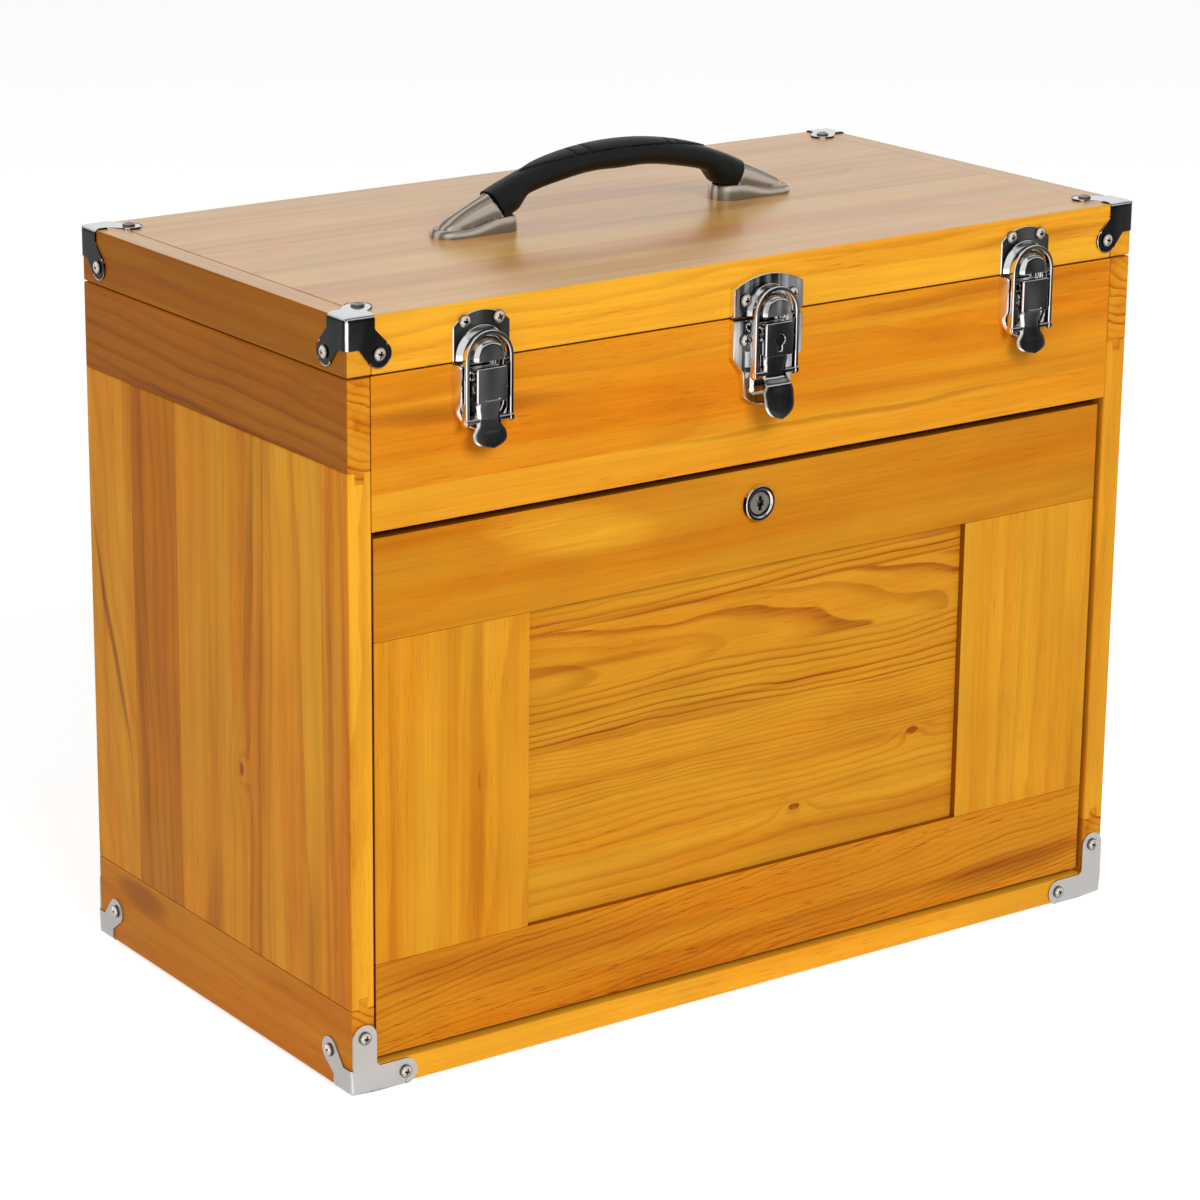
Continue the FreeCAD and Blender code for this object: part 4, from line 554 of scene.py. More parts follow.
def grip_inlay(name):
    """The pebbled strip on top of the grip."""
    return grip_plastic(name, coarse=0.0004, roughness=0.42)


def felt(name):
    """Green felt: matted fibres over a soft uneven pile."""
    tree = Finish(name)
    fibres = tree.noise(1600.0, 4.0, 0.7)
    tufts = tree.noise(240.0, 3.0)
    worn = tree.noise(14.0)
    level = 0.55 + fibres * 0.7 + (tufts - 0.5) * 0.5 + (worn - 0.5) * 0.3
    tone = tree.lighten(bpy.context.scene.toolbox_metal.felt, level)
    pile = {"Sheen Weight": 0.3, "Normal": tree.bump(fibres * 0.5 + tufts, 0.0005, 0.7)}
    return tree.surface(tone, 0.95, pile)


FINISHES = {
    "case_wood": case_wood,
    "rail_wood": rail_wood,
    "lid_top_wood": lid_top_wood,
    "inner_wood": inner_wood,
    "chrome": chrome,
    "latch_chrome": latch_chrome,
    "plate_chrome": plate_chrome,
    "tray_chrome": tray_chrome,
    "lock_face": lock_face,
    "dark_gap": dark_gap,
    "screw_nickel": screw_nickel,
    "steel": steel,
    "satin_nickel": satin_nickel,
    "grip_plastic": grip_plastic,
    "grip_inlay": grip_inlay,
    "felt": felt,
}


# Solids of the frame


def solids(node):
    """The closed solids of a CAD node, each with its flat faces whole again."""
    mesh = frame["nodes"][node].data
    corner = [tuple(round(part, 6) for part in vertex.co) for vertex in mesh.vertices]
    waiting = {}
    faces = []
    found = []
    for polygon in mesh.polygons:
        loop = [corner[index] for index in polygon.vertices]
        faces.append(loop)
        for start, stop in zip(loop, loop[1:] + loop[:1]):
            if start == stop:
                continue
            if waiting.get((stop, start)):
                waiting[stop, start] -= 1
                if not waiting[stop, start]:
                    del waiting[stop, start]
            else:
                waiting[start, stop] = waiting.get((start, stop), 0) + 1
        if not waiting:
            found.append(whole_faces(faces))
            faces = []
    return found


def whole_faces(faces):
    """A bmesh of one solid, with triangles of a flat face joined."""
    form = bmesh.new()
    made = {}
    for loop in faces:
        for place in loop:
            if place not in made:
                made[place] = form.verts.new(place)
        corners = [made[place] for place in loop]
        if len(set(corners)) == len(corners) and form.faces.get(corners) is None:
            form.faces.new(corners)
    bmesh.ops.dissolve_limit(
        form, angle_limit=math.radians(0.4), verts=form.verts[:], edges=form.edges[:]
    )
    return form


def reach(form):
    """Lowest and highest corner of a form."""
    low = Vector([min(vertex.co[axis] for vertex in form.verts) for axis in range(3)])
    high = Vector([max(vertex.co[axis] for vertex in form.verts) for axis in range(3)])
    return low, high


def box_edges(form, low, high):
    """Edges that lie on two sides of a box."""
    chosen = []
    for edge in form.edges:
        sides = 0
        for axis in range(3):
            for limit in (low[axis], high[axis]):
                if all(abs(vertex.co[axis] - limit) < 2e-6 for vertex in edge.verts):
                    sides += 1
        if sides >= 2:
            chosen.append(edge)
    return chosen


def sharp_edges(form, angle):
    """Edges whose two faces turn by more than an angle in degrees."""
    limit = math.radians(angle)
    return [edge for edge in form.edges if edge.is_manifold and edge.calc_face_angle(0) > limit]


def ease(form, edges, offset, segments=2, clamp=False):
    """Rounds some edges of a form."""
    bmesh.ops.bevel(
        form,
        geom=edges,
        offset=offset,
        segments=segments,
        profile=0.5,
        affect="EDGES",
        clamp_overlap=clamp,
    )


def as_mesh(form):
    """The mesh of a form that is finished."""
    mesh = bpy.data.meshes.new("form")
    form.to_mesh(mesh)
    form.free()
    return mesh


def show(mesh, node, slot, suffix, finishes=None):
    """Puts a finished mesh in the scene in place of its CAD node."""
    piece = bpy.data.objects.new(node + suffix, mesh)
    bpy.context.scene.collection.objects.link(piece)
    for name in finishes or (slot,):
        mesh.materials.append(finish(name))
    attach(piece, NODE_BODY[node])
    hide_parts(node)
    return piece


# Boards

NO_SPOT = (0, 0, 1, 1, 0, 0)
NO_KNOT = (9999, 9999, 1)
Board = namedtuple(
    "Board",
    "tone red figure pith_across pith_depth spacing lean_across lean_depth seed finish spot knot",
    defaults=(0, NO_SPOT, NO_KNOT),
)


def some_board(chance):
    """A board whose log is drawn by chance."""
    return Board(
        tone=chance.uniform(0.9, 1.06),
        red=chance.uniform(0.05, 0.45),
        figure=chance.uniform(0.3, 0.65),
        pith_across=chance.uniform(-90, 90),
        pith_depth=chance.choice((-1, 1)) * chance.uniform(25, 60),
        spacing=chance.uniform(4.5, 8.5),
        lean_across=chance.uniform(-0.03, 0.03),
        lean_depth=chance.uniform(-0.06, 0.06),
        seed=round(chance.uniform(1, 90), 2),
    )


def as_seen(board, normal, plan):
    """A board with the looks that its plan gives to faces that look this way."""
    # Some plans give faces that look up, down or sideways a painted seam shade
    seen = {"up": normal.z > 0.9, "front": normal.y < -0.9, "edges": abs(normal.y) < 0.4}
    for side in seen:
        if seen[side]:
            board = board._replace(**plan.get(side, {}))
    return board


def wood_facts(board):
    """What the wood finish reads of a board, by the names of the mesh's attributes."""
    return {
        "pith": (board.pith_across, board.pith_depth, board.spacing),
        "lean": (board.lean_across, board.lean_depth, board.seed),
        "look": (board.tone, board.red, board.figure),
        "spot": board.spot[:3],
        "spot_form": board.spot[3:],
        "knot": board.knot,
    }


def cut_across(form, axis, place):
    """Cuts the faces of a form along a plane."""
    where, facing = Vector(), Vector()
    where[axis] = place
    facing[axis] = 1.0
    every = form.verts[:] + form.edges[:] + form.faces[:]
    bmesh.ops.bisect_plane(form, geom=every, plane_co=where, plane_no=facing)


def dress_boards(node, slot, plan=None, finishes=None, group=False, rounding=None, grain=None):
    """Boards with eased edges, whose wood knows where its own log was.
    A group is rounded at its outer edges alone, and grain is the axis that the fibres follow."""
    plan = plan or {}
    rounding = bpy.context.scene.toolbox_wood.edge_round if rounding is None else rounding
    chance = random.Random(node)
    listed = iter(plan.get("boards", ()))
    order = AXES.index(plan.get("order", "X"))
    cut_axis, cuts = plan.get("strips", ("Z", ()))
    cut_axis = AXES.index(cut_axis)
    forms = solids(node)
    forms.sort(key=lambda form: sum(vertex.co[order] for vertex in form.verts) / len(form.verts))
    points, faces, grains, face_boards = [], [], [], []
    for form in forms:
        low, high = reach(form)
        spans = high - low
        middle = (low + high) / 2
        run = AXES.index(grain) if grain else max(range(3), key=lambda axis: spans[axis])
        rest = sorted((axis for axis in range(3) if axis != run), key=lambda axis: -spans[axis])
        for cut in cuts:
            cut_across(form, cut_axis, cut * MM)
        if rounding:
            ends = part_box(node) if group else (low, high)
            ease(form, box_edges(form, *ends), rounding, segments=3)
        strips = [next(listed, None) or some_board(chance) for _ in range(len(cuts) + 1)]
        start = len(points)
        form.verts.index_update()
        points.extend(vertex.co.copy() for vertex in form.verts)
        for face in form.faces:
            faces.append([start + vertex.index for vertex in face.verts])
            place = face.calc_center_median()[cut_axis]
            face_boards.append(strips[sum(place > cut * MM for cut in cuts)])
            for vertex in face.verts:
                local = (vertex.co - middle) / MM
                grains.extend(local[axis] for axis in (run, *rest))
        form.free()
    mesh = bpy.data.meshes.new(node + "_boards")
    mesh.from_pydata(points, [], faces)
    chosen = [
        as_seen(board, polygon.normal, plan) for board, polygon in zip(face_boards, mesh.polygons)
    ]
    facts = [wood_facts(board) for board in chosen]
    keep(mesh, "grain", "CORNER", grains)
    for name in facts[0]:
        keep(mesh, name, "FACE", [value for fact in facts for value in fact[name]])
    mesh.polygons.foreach_set("material_index", [board.finish for board in chosen])
    mesh.update()
    return show(mesh, node, slot, "_boards", finishes)


def keep(mesh, name, domain, values):
    """Stores a vector attribute on a mesh."""
    mesh.attributes.new(name, "FLOAT_VECTOR", domain).data.foreach_set("vector", values)


# Pressed and turned metal


def soft_solid(node, slot, rounding=None, segments=2, bend=0.0, curve=0.0):
    """A CAD node with its sharp edges rounded and its curves shaded smooth.
    Bend rounds the folds of a bracket first, and curve the corners of its outline."""
    rounding = bpy.context.scene.toolbox_metal.edge_round if rounding is None else rounding
    meshes = []
    for form in solids(node):
        if curve:
            corners = [edge for edge in sharp_edges(form, 20) if edge.calc_length() < 1.3 * MM]
            ease(form, corners, curve, segments=5, clamp=True)
        if bend:
            folds = [edge for edge in box_edges(form, *reach(form)) if edge.calc_length() > 4 * MM]
            ease(form, folds, bend, segments=5)
        ease(form, sharp_edges(form, 40), rounding, segments, clamp=True)
        meshes.append(as_mesh(form))
    show_metal(meshes, node, slot)


def show_metal(meshes, node, slot, finishes=None, angle=42):
    """Shows some meshes as one piece, shaded smooth, in place of a CAD node."""
    show(smooth_mesh(node + "_metal", joined(meshes), angle), node, slot, "_metal", finishes)


def joined(meshes):
    """One mesh of several."""
    form = bmesh.new()
    for mesh in meshes:
        form.from_mesh(mesh)
        bpy.data.meshes.remove(mesh)
    return as_mesh(form)


def smooth_mesh(name, mesh, angle):
    """The mesh shaded smooth, with its large faces kept flat and its real edges sharp."""
    form = bmesh.new()
    form.from_mesh(mesh)
    for face in form.faces:
        face.smooth = True
    for edge in form.edges:
        edge.smooth = not edge.is_manifold or edge.calc_face_angle(0) < math.radians(angle)
    form.to_mesh(mesh)
    form.free()
    return finished(name, mesh, weigh_normals)


def weigh_normals(piece):
    """Lets large faces rule the shading."""
    modifier = piece.modifiers.new("Even faces", "WEIGHTED_NORMAL")
    modifier.keep_sharp = True


def finished(name, mesh, add_modifiers):
    """The plain mesh that some modifiers make."""
    piece = bpy.data.objects.new(name, mesh)
    bpy.context.scene.collection.objects.link(piece)
    add_modifiers(piece)
    scene_now = bpy.context.evaluated_depsgraph_get()
    result = bpy.data.meshes.new_from_object(piece.evaluated_get(scene_now))
    bpy.data.objects.remove(piece)
    bpy.data.meshes.remove(mesh)
    result.name = name
    return result


# Latch parts, in millimetres across, up from the seam and out from the wood

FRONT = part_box("till_front_board")[0][1]
SEAM = (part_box("till_front_board")[1][2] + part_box("lid_side_rails")[0][2]) / 2


def on_front(middle, across, rise, out):
    """A place on the case's front."""
    return Vector(((middle + across) * MM, FRONT - out * MM, SEAM + rise * MM))


def clamped(value):
    """The value, kept from 0 to 1."""
    return max(0.0, min(1.0, value))


def swell(value):
    """A round rise from 0 to 1."""
    return math.sin(math.pi / 2 * clamped(value))


def slope(value):
    """A rise from 0 to 1 with a soft start and end."""
    value = clamped(value)
    return value * value * (3 - 2 * value)


def squarer(value, power):
    """A sine or a cosine that makes a section squarer than a circle."""
    return math.copysign(abs(value) ** power, value)


def round_steps(count):
    """Angles at even steps round a circle."""
    return [math.tau * step / count for step in range(count)]


def arc(middle, radius, start, stop, count):
    """Points of an arc, with its angles in degrees."""
    turns = [math.radians(start + (stop - start) * step / count) for step in range(count + 1)]
    return [(middle[0] + radius * math.cos(t), middle[1] + radius * math.sin(t)) for t in turns]


def evenly(outline, count):
    """Points at even distances along a closed outline, which keep its corners."""
    pairs = list(zip(outline, outline[1:] + outline[:1]))
    total = sum(math.dist(a, b) for a, b in pairs)
    points = []
    for a, b in pairs:
        steps = max(1, round(count * math.dist(a, b) / total))
        for step in range(steps):
            share_done = step / steps
            points.append((a[0] + (b[0] - a[0]) * share_done, a[1] + (b[1] - a[1]) * share_done))
    return points


def edge_distance(outline, point):
    """How far a point inside an outline is from it."""
    best = 1e9
    for a, b in zip(outline, outline[1:] + outline[:1]):
        run = (b[0] - a[0], b[1] - a[1])
        size = run[0] ** 2 + run[1] ** 2
        along = clamped(((point[0] - a[0]) * run[0] + (point[1] - a[1]) * run[1]) / size)
        gap = math.hypot(point[0] - a[0] - along * run[0], point[1] - a[1] - along * run[1])
        best = min(best, gap)
    return best


def arch_depth(across, rise, half, top):
    """How far a point is inside an arch that is open below."""
    return half - math.hypot(across, max(0.0, rise - (top - half)))


def pressed_plate(where, outline, pole, height, rim=0.7, rings=34, count=150, deep=None):
    """A sheet pressed into relief: height gives its face from the place and its distance to the edge.
    Faces where deep is true have the second material."""
    around = evenly(outline, count)
    form = bmesh.new()
    rows = []
    marks = []
    steps = [(0.02 + 0.98 * ring / rings, None) for ring in range(rings)]
    steps += [(1, rim * (1 - math.sin(math.radians(18 * step)))) for step in range(6)]
    for part, inset in steps:
        row = []
        for corner in around:
            ray = (corner[0] - pole[0], corner[1] - pole[1])
            size = math.hypot(*ray)
            distance = (size - rim) * part if inset is None else size - inset
            across, rise = pole[0] + ray[0] * distance / size, pole[1] + ray[1] * distance / size
            gap = edge_distance(outline, (across, rise))
            out = height(across, rise, gap)
            if gap < rim:
                out *= math.sqrt(max(0.0, 1 - (1 - gap / rim) ** 2))
            row.append(form.verts.new(where(across, rise, out)))
            marks.append(bool(deep and deep(across, rise)))
        rows.append(row)
    skin(form, rows, marks)
    return closed(form)


def skin(form, rows, marks=None, ends=True, middle=None):
    """Faces between rings of vertices and across both ends, of which the first may have a middle.
    Faces that start at a marked vertex have the second material."""
    sides = len(rows[0])
    for first, (one, two) in enumerate(zip(rows, rows[1:])):
        for side in range(sides):
            after = (side + 1) % sides
            face = form.faces.new((one[side], two[side], two[after], one[after]))
            face.material_index = int(bool(marks and marks[first * sides + side]))
    if middle:
        for side in range(sides):
            form.faces.new((middle, rows[0][side], rows[0][(side + 1) % sides]))
    elif ends:
        form.faces.new(rows[0]).material_index = int(bool(marks and marks[0]))
    if ends:
        form.faces.new(rows[-1][::-1])


def closed(form):
    """The mesh of a closed form, with its faces outwards."""
    bmesh.ops.remove_doubles(form, verts=form.verts, dist=2e-6)
    bmesh.ops.recalc_face_normals(form, faces=form.faces)
    return as_mesh(form)


def solid_through(rings):
    """A solid through rings of places."""
    form = bmesh.new()
    skin(form, [[form.verts.new(place) for place in ring] for ring in rings])
    return closed(form)


def rounded_ring(half, back, front, corner, back_corner=0.25, steps=5):
    """A rounded rectangle of (across, out), which starts at its back left corner."""
    corner = min(corner, half * 0.98, (front - back) * 0.49)
    back_corner = min(back_corner, (front - back) * 0.49)
    places = (
        ((-half + back_corner, back + back_corner), back_corner, 270, 180),
        ((-half + corner, front - corner), corner, 180, 90),
        ((half - corner, front - corner), corner, 90, 0),
        ((half - back_corner, back + back_corner), back_corner, 0, -90),
    )
    return [point for place in places for point in arc(*place, steps)]


def lofted(middle, stations):
    """A solid through rings at several heights: each station is a rise and its ring."""
    return solid_through([[on_front(middle, a, rise, o) for a, o in ring] for rise, ring in stations])


def swept(middle, path, half_width, half_depth, out, power=3.4, sides=28):
    """A strip with rounded edges along a path of (across, rise)."""
    rings = []
    for index, point in enumerate(path):
        before = path[max(0, index - 1)]
        after = path[min(len(path) - 1, index + 1)]
        run = Vector((after[0] - before[0], after[1] - before[1])).normalized()
        ring = []
        for turn in round_steps(sides):
            wide = half_width * squarer(math.cos(turn), 2 / power)
            deep = half_depth * squarer(math.sin(turn), 2 / power)
            ring.append(on_front(middle, point[0] - run.y * wide, point[1] + run.x * wide, out + deep))
        rings.append(ring)
    return solid_through(rings)


def cross_pin(middle, ends, rise, out, radius, head=0.35, sides=24):
    """A round pin across the latch with eased ends."""
    left, right = ends
    rings = []
    for across, inset in ((left, head), (left + head, 0), (right - head, 0), (right, head)):
        size = radius - inset
        turns = round_steps(sides)
        rings.append(
            [on_front(middle, across, rise + size * math.sin(t), out + size * math.cos(t)) for t in turns]
        )
    return solid_through(rings)


def side_plate(middle, near, far, outline):
    """A flat cheek or ear, whose outline is in (rise, out), with eased edges."""
    form = bmesh.new()
    skin(form, [[form.verts.new(on_front(middle, a, r, o)) for r, o in outline] for a in (near, far)])
    bmesh.ops.recalc_face_normals(form, faces=form.faces)
    ease(form, sharp_edges(form, 60), 0.22 * MM)
    return closed(form)


# Pins of a lever and its loop as (rise, out), front of its block, middle of its keyhole and top
# of its tongue

LEVER_PIN = (-6.5, 6.0)
LOOP_PIN = (-29.2, 6.85)
BLOCK_FRONT = 9.0
KEYHOLE_RISE = -11.4
TONGUE_TOP = -20.2

# Lift is how much thicker a latch is, half its half width, shoulder and rise the plate's sides and
# crown, bow the tongue's curve across, widths and faces its half widths and fronts by their rise

Latch = namedtuple("Latch", "node middle lift half shoulder rise dome tip_rise bow widths faces")
OUTER_WIDTHS = ((-20.2, 6.4), (-21.6, 7.3), (-27.5, 6.6), (-31, 7.2), (-36.5, 9.9), (-37.5, 9.9))
OUTER_FACES = ((-20.2, 9.6), (-28, 9.3), (-35, 10.4), (-42.7, 12.5))
CENTRE_WIDTHS = ((-20.2, 6.6), (-21.6, 7.6), (-27, 7.0), (-33, 7.6), (-39.5, 9.7), (-44, 9.5))
CENTRE_FACES = ((-20.2, 12.2), (-30.5, 11.2), (-36, 15.0), (-52.7, 17.0))
OUTER_LATCH = Latch("left", -177, 0, 17, 18.3, 25.4, 15.3, -42.7, 1.7, OUTER_WIDTHS, OUTER_FACES)
LATCHES = {
    "left": OUTER_LATCH,
    "centre": Latch(
        "centre", 0, 2.5, 22.75, 15.7, 22.3, 14.2, -52.7, 1.3, CENTRE_WIDTHS, CENTRE_FACES
    ),
    "right": OUTER_LATCH._replace(node="right", middle=177),
}


def bow(half, height):
    """Radius of an arc this wide and this high, and half of its turn in degrees."""
    radius = (half**2 + height**2) / (2 * height)
    return radius, math.degrees(math.asin(half / radius))


def catch_outline(latch):
    """The arched outline of a catch plate."""
    radius, spread = bow(latch.half, latch.rise - latch.shoulder)
    crown = arc((0, latch.rise - radius), radius, 90 - spread, 90 + spread, 24)
    return [(-latch.half, 0.5), (latch.half, 0.5)] + crown


def catch_plate(latch):
    """A catch plate: a broad dome, and on it the boss that the loop hooks round."""
    raised = latch.node == "centre"

    def height(across, rise, gap):
        out = 3.8 if raised else 1.2
        dome = arch_depth(across, rise, latch.dome, 16.6 if raised else 17.6)
        crown = 4.7 + latch.lift
        out += (crown - out) * swell(dome / 5.5)
        boss = arch_depth(across, rise, 11.1, 13.2)
        out += 5.3 * swell(boss / 4.4)
        return out

    return pressed_plate(partial(on_front, latch.middle), catch_outline(latch), (0, 9), height)


def outer_base(latch):
    """A tray with a rolled rim, higher beside the lever than round its lower end."""
    half = latch.half
    bend = -19.5
    outline = [(half, -0.5), (-half, -0.5)] + arc((0, bend), half, 180, 360, 30)

    def height(across, rise, gap):
        side = half - math.hypot(across, min(0.0, rise - bend))
        crest = 2.3 + 3.0 * slope((rise + 25) / 7)
        room = lever_room(across, rise)
        return 1.2 + crest * math.exp(-(((side - 1.7) / 1.25) ** 2)) * (1 - room) - 0.8 * room

    return pressed_plate(partial(on_front, latch.middle), outline, (0, -17), height)


def centre_base(latch):
    """A raised plate, wide above and narrow below, with a step up round the lever."""
    foot_half, foot_rise, lowest = 15, -42.5, -48
    right = [(latch.half, -0.5), (latch.half, -21), (16.5, -29)]
    radius, spread = bow(foot_half, foot_rise - lowest)
    foot = arc((0, lowest + radius), radius, 270 + spread, 270 - spread, 20)
    outline = right + foot + [(-a, r) for a, r in reversed(right)]

    def height(across, rise, gap):
        step = min(11.6 - abs(across), rise + 41.0, -12.0 - rise)
        return 3.8 + 1.5 * slope(step / 1.4) - 1.2 * lever_room(across, rise)

    return pressed_plate(partial(on_front, latch.middle), outline, (0, -22), height)


def lever_room(across, rise):
    """Where a base is sunk behind the top of its lever, which swings in there as it opens."""
    return clamped((10.0 - abs(across)) / 0.5) * clamped((rise + 4.3) / 0.6)


def base_ears(latch):
    """The two ears that hold a lever's pin."""
    rise, out = LEVER_PIN
    radius = 2.35
    foot = 0.8
    crown = arc((rise, out + latch.lift), radius, 180, 0, 8)
    shape = [(rise - radius, foot)] + crown + [(rise + radius, foot)]
    return [side_plate(latch.middle, side * 8.1, side * 9.3, shape) for side in (-1, 1)]


def loop_strip(latch):
    """The loop: two legs, the arch round the boss, and an eye at each foot."""
    foot, out = LOOP_PIN
    out += latch.lift
    radius = 13.1
    left = [(-radius, foot + (2 - foot) * step / 10) for step in range(11)]
    arch = arc((0, 2), radius, 180, 0, 30)[1:-1]
    right = [(-a, r) for a, r in reversed(left)]
    meshes = [swept(latch.middle, left + arch + right, 1.2, 2.1, out)]
    for ends in ((-14.3, -12.0), (12.0, 14.3)):
        meshes.append(cross_pin(latch.middle, ends, foot, out, 2.6, head=0.3))
    return meshes


def between(points, value):
    """A smooth line through listed points, whose places fall."""
    for (high, first), (low, second) in zip(points, points[1:]):
        if value >= low:
            return first + (second - first) * slope((high - value) / (high - low))
    return points[-1][1]


def tongue(latch):
    """The thumb tongue: a bowed strip that narrows, bends outwards and widens to a round tip."""
    round_from = latch.widths[-1][0]
    stations = []
    for step in range(41):
        rise = TONGUE_TOP + (latch.tip_rise - TONGUE_TOP) * (1 - (1 - step / 40) ** 1.5)
        half = between(latch.widths, rise)
        if rise < round_from:
            low = (rise - round_from) / (latch.tip_rise - round_from)
            half *= math.sqrt(max(0.02, 1 - low**2.3))
        face = between(latch.faces, rise)
        shares = [part / 8 for part in range(-8, 9)]
        front = [(half * p, face - latch.bow * abs(p) ** 2.2 - 0.35 * abs(p) ** 12) for p in shares]
        rear = [(across * 0.96, out - 1.1) for across, out in reversed(front)]
        stations.append((rise, front + rear))
    return lofted(latch.middle, stations)


def lever_cover(latch):
    """The lever's flat cover, with a keyhole in the centre one and a small lip in the others."""
    outline = arc((7.9, -3.2), 1.2, 0, 90, 4) + arc((-7.9, -3.2), 1.2, 90, 180, 4)
    outline += arc((-7.9, -19.0), 1.2, 180, 270, 4) + arc((7.9, -19.0), 1.2, 270, 360, 4)

    def height(across, rise, gap):
        out = 2.2 - 0.25 * (abs(across) / 9.1) ** 4
        if latch.node != "centre":
            lip = max(abs(across + 0.5) - 4.6, abs(rise + 18.4) - 0.35)
            return out - 0.6 * clamped(0.5 - lip / 0.3)
        gap = keyhole_gap(across, rise)
        depth = clamped(0.5 - gap / 0.4)
        return out - 1.25 * depth + 0.25 * clamped(1 - abs(gap - 0.7) / 0.6) * (1 - depth)

    def where(across, rise, out):
        return on_front(latch.middle, across, rise, BLOCK_FRONT + latch.lift + out)

    # Faces inside the centre lever's keyhole take the second material, its painted shade
    def deep(across, rise):
        return latch.node == "centre" and keyhole_gap(across, rise) < -0.1

    pole = (0, KEYHOLE_RISE)
    return pressed_plate(where, outline, pole, height, rings=44, count=180, deep=deep)


def keyhole_gap(across, rise):
    """How far a point of the centre lever's cover is outside its keyhole."""
    hole = math.hypot(across, rise - KEYHOLE_RISE) - 2.9
    slit = max(abs(across) - 1.0, abs(rise - KEYHOLE_RISE + 3.0) - 2.8)
    return min(hole, slit)


def lever_parts(latch):
    """The lever: its cover and block, the thumb tongue, cheeks and the loop's pin."""
    back = 3.5 + latch.lift
    neck = 7.3 + latch.lift
    pin_rise, pin_out = LOOP_PIN
    front = BLOCK_FRONT + 0.05 + latch.lift
    block = [(rise, rounded_ring(7.4, back, front, 0.6)) for rise in (-3.0, -19.6)]
    cheek = [(-19.0, back), (pin_rise, back - 0.2)]
    cheek += arc((pin_rise, back + 2.9), 3.1, 270, 180, 5)[1:]
    cheek += [(-32.3, neck - 1.2), (-30.5, neck), (-19.0, neck)]
    meshes = [lofted(latch.middle, block), lever_cover(latch), tongue(latch)]
    for side in (-1, 1):
        meshes.append(side_plate(latch.middle, side * 5.9, side * 6.9, cheek))
    pin = cross_pin(latch.middle, (-14.7, 14.7), pin_rise, pin_out + latch.lift, 1.5)
    return meshes + [pin]


# Handle parts, in millimetres along the lid, towards the back and up from the lid

LID_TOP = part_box("lid_top_planks")[1][2]
GRIP_RADIUS = 195.0
GRIP_TOP = 41.0
GRIP_END = math.degrees(math.asin(84 / GRIP_RADIUS))


def inlay_share(along, around):
    """How far a place on the grip is inside the inlaid strip, and how high the grip is there."""
    spread = 56 * max(0.0, 1 - (abs(along + 1) / 62) ** 2.1) ** 0.8
    inside = clamped((spread - abs(around)) / 3)
    border = clamped(1 - abs(spread - abs(around)) / 2.6)
    groove = 1 - clamped((min(abs(along - line) for line in (-31, -22, 31, 38)) - 0.45) / 0.4)
    return inside, inside * (0.8 - 1.1 * groove) - 0.35 * border * clamped(spread / 8)


def grip_form():
    """The arched grip: slimmer towards its ends, which swell again at the brackets."""
    form = bmesh.new()
    stations = 150
    rows = []
    marks = []
    for station in range(-2, stations + 3):
        turn = math.radians(GRIP_END * (2 * min(max(station, 0), stations) / stations - 1))
        shrink = {-2: 0.7, -1: 0.92, stations + 1: 0.92, stations + 2: 0.7}.get(station, 1.0)
        part = abs(turn) / math.radians(GRIP_END)
        thick = 14.4 - 1.6 * slope((part - 0.2) / 0.5) + 4.8 * slope((part - 0.74) / 0.14)
        thick += 0.6 * math.cos(turn * 25) * (1 - part)
        wide = 9.7 - 1.3 * slope((part - 0.25) / 0.5) + 1.4 * slope((part - 0.78) / 0.14)
        row = []
        for around in round_steps(144):
            sine, cosine = math.sin(around), math.cos(around)
            degrees = math.degrees(around if around < math.pi else around - math.tau)
            inside, lift = inlay_share(GRIP_RADIUS * math.sin(turn), degrees)
            level = GRIP_RADIUS - 0.8 - thick / 2
            level += (thick / 2 * squarer(cosine, 0.84) + lift * max(0, cosine)) * shrink
            back = (wide * squarer(sine, 0.84) + lift * sine) * shrink
            out = GRIP_TOP - GRIP_RADIUS + level * math.cos(turn)
            place = Vector((level * math.sin(turn), back, out)) * MM
            place.z += LID_TOP
            row.append(form.verts.new(place))
            marks.append(inside > 0.5)
        rows.append(row)
    skin(form, rows, marks)
    return closed(form)


def handle_end(side):
    """An end bracket: a low round-ended foot, and the arm that rises from its toe to the grip."""
    radius = 10.5
    outline = arc((107.5, 0), radius, -90, 90, 24) + arc((76.5, 0), radius, 90, 270, 24)

    def where(across, rise, out):
        return Vector((side * across * MM, rise * MM, LID_TOP + out * MM))

    def height(across, rise, gap):
        heel = slope((102 - across) / 26)
        foot = 4.4 + 5.0 * heel
        crease = 4.2 - 2.2 * heel
        foot -= 0.8 * math.exp(-(((gap - crease) / 0.9) ** 2))
        ridge = 4.2 + 16.0 * clamped((117 - across) / 33) ** 0.9
        inner = clamped((gap - crease) / (radius - crease))
        dome = math.sqrt(1 - (1 - inner) ** 2.3)
        arm = foot + (ridge - foot) * dome
        return max(foot, min(arm, 8.5 + (across - 78.3) * 2.15))

    return pressed_plate(where, outline, (93, 0), height, rim=2.2, rings=60, count=190)


# Lock parts, in millimetres from the lock's axis and out from the panel

LOCK_AXIS = sum(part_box("front_lock_plug")[end][2] for end in (0, 1)) / 2
PANEL_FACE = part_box("front_lock_housing")[0][1] + 3.0 * MM


def on_lock(across, out, rise):
    """A place at the lock of the drop front."""
    return Vector((across * MM, PANEL_FACE - out * MM, LOCK_AXIS + rise * MM))


def turned(profile, sides=64):
    """A ring round the lock's axis, from a closed profile of (radius, out)."""
    form = bmesh.new()
    rows = [
        [form.verts.new(on_lock(r * math.cos(turn), out, r * math.sin(turn))) for r, out in profile]
        for turn in round_steps(sides)
    ]
    skin(form, rows + rows[:1], ends=False)
    return closed(form)


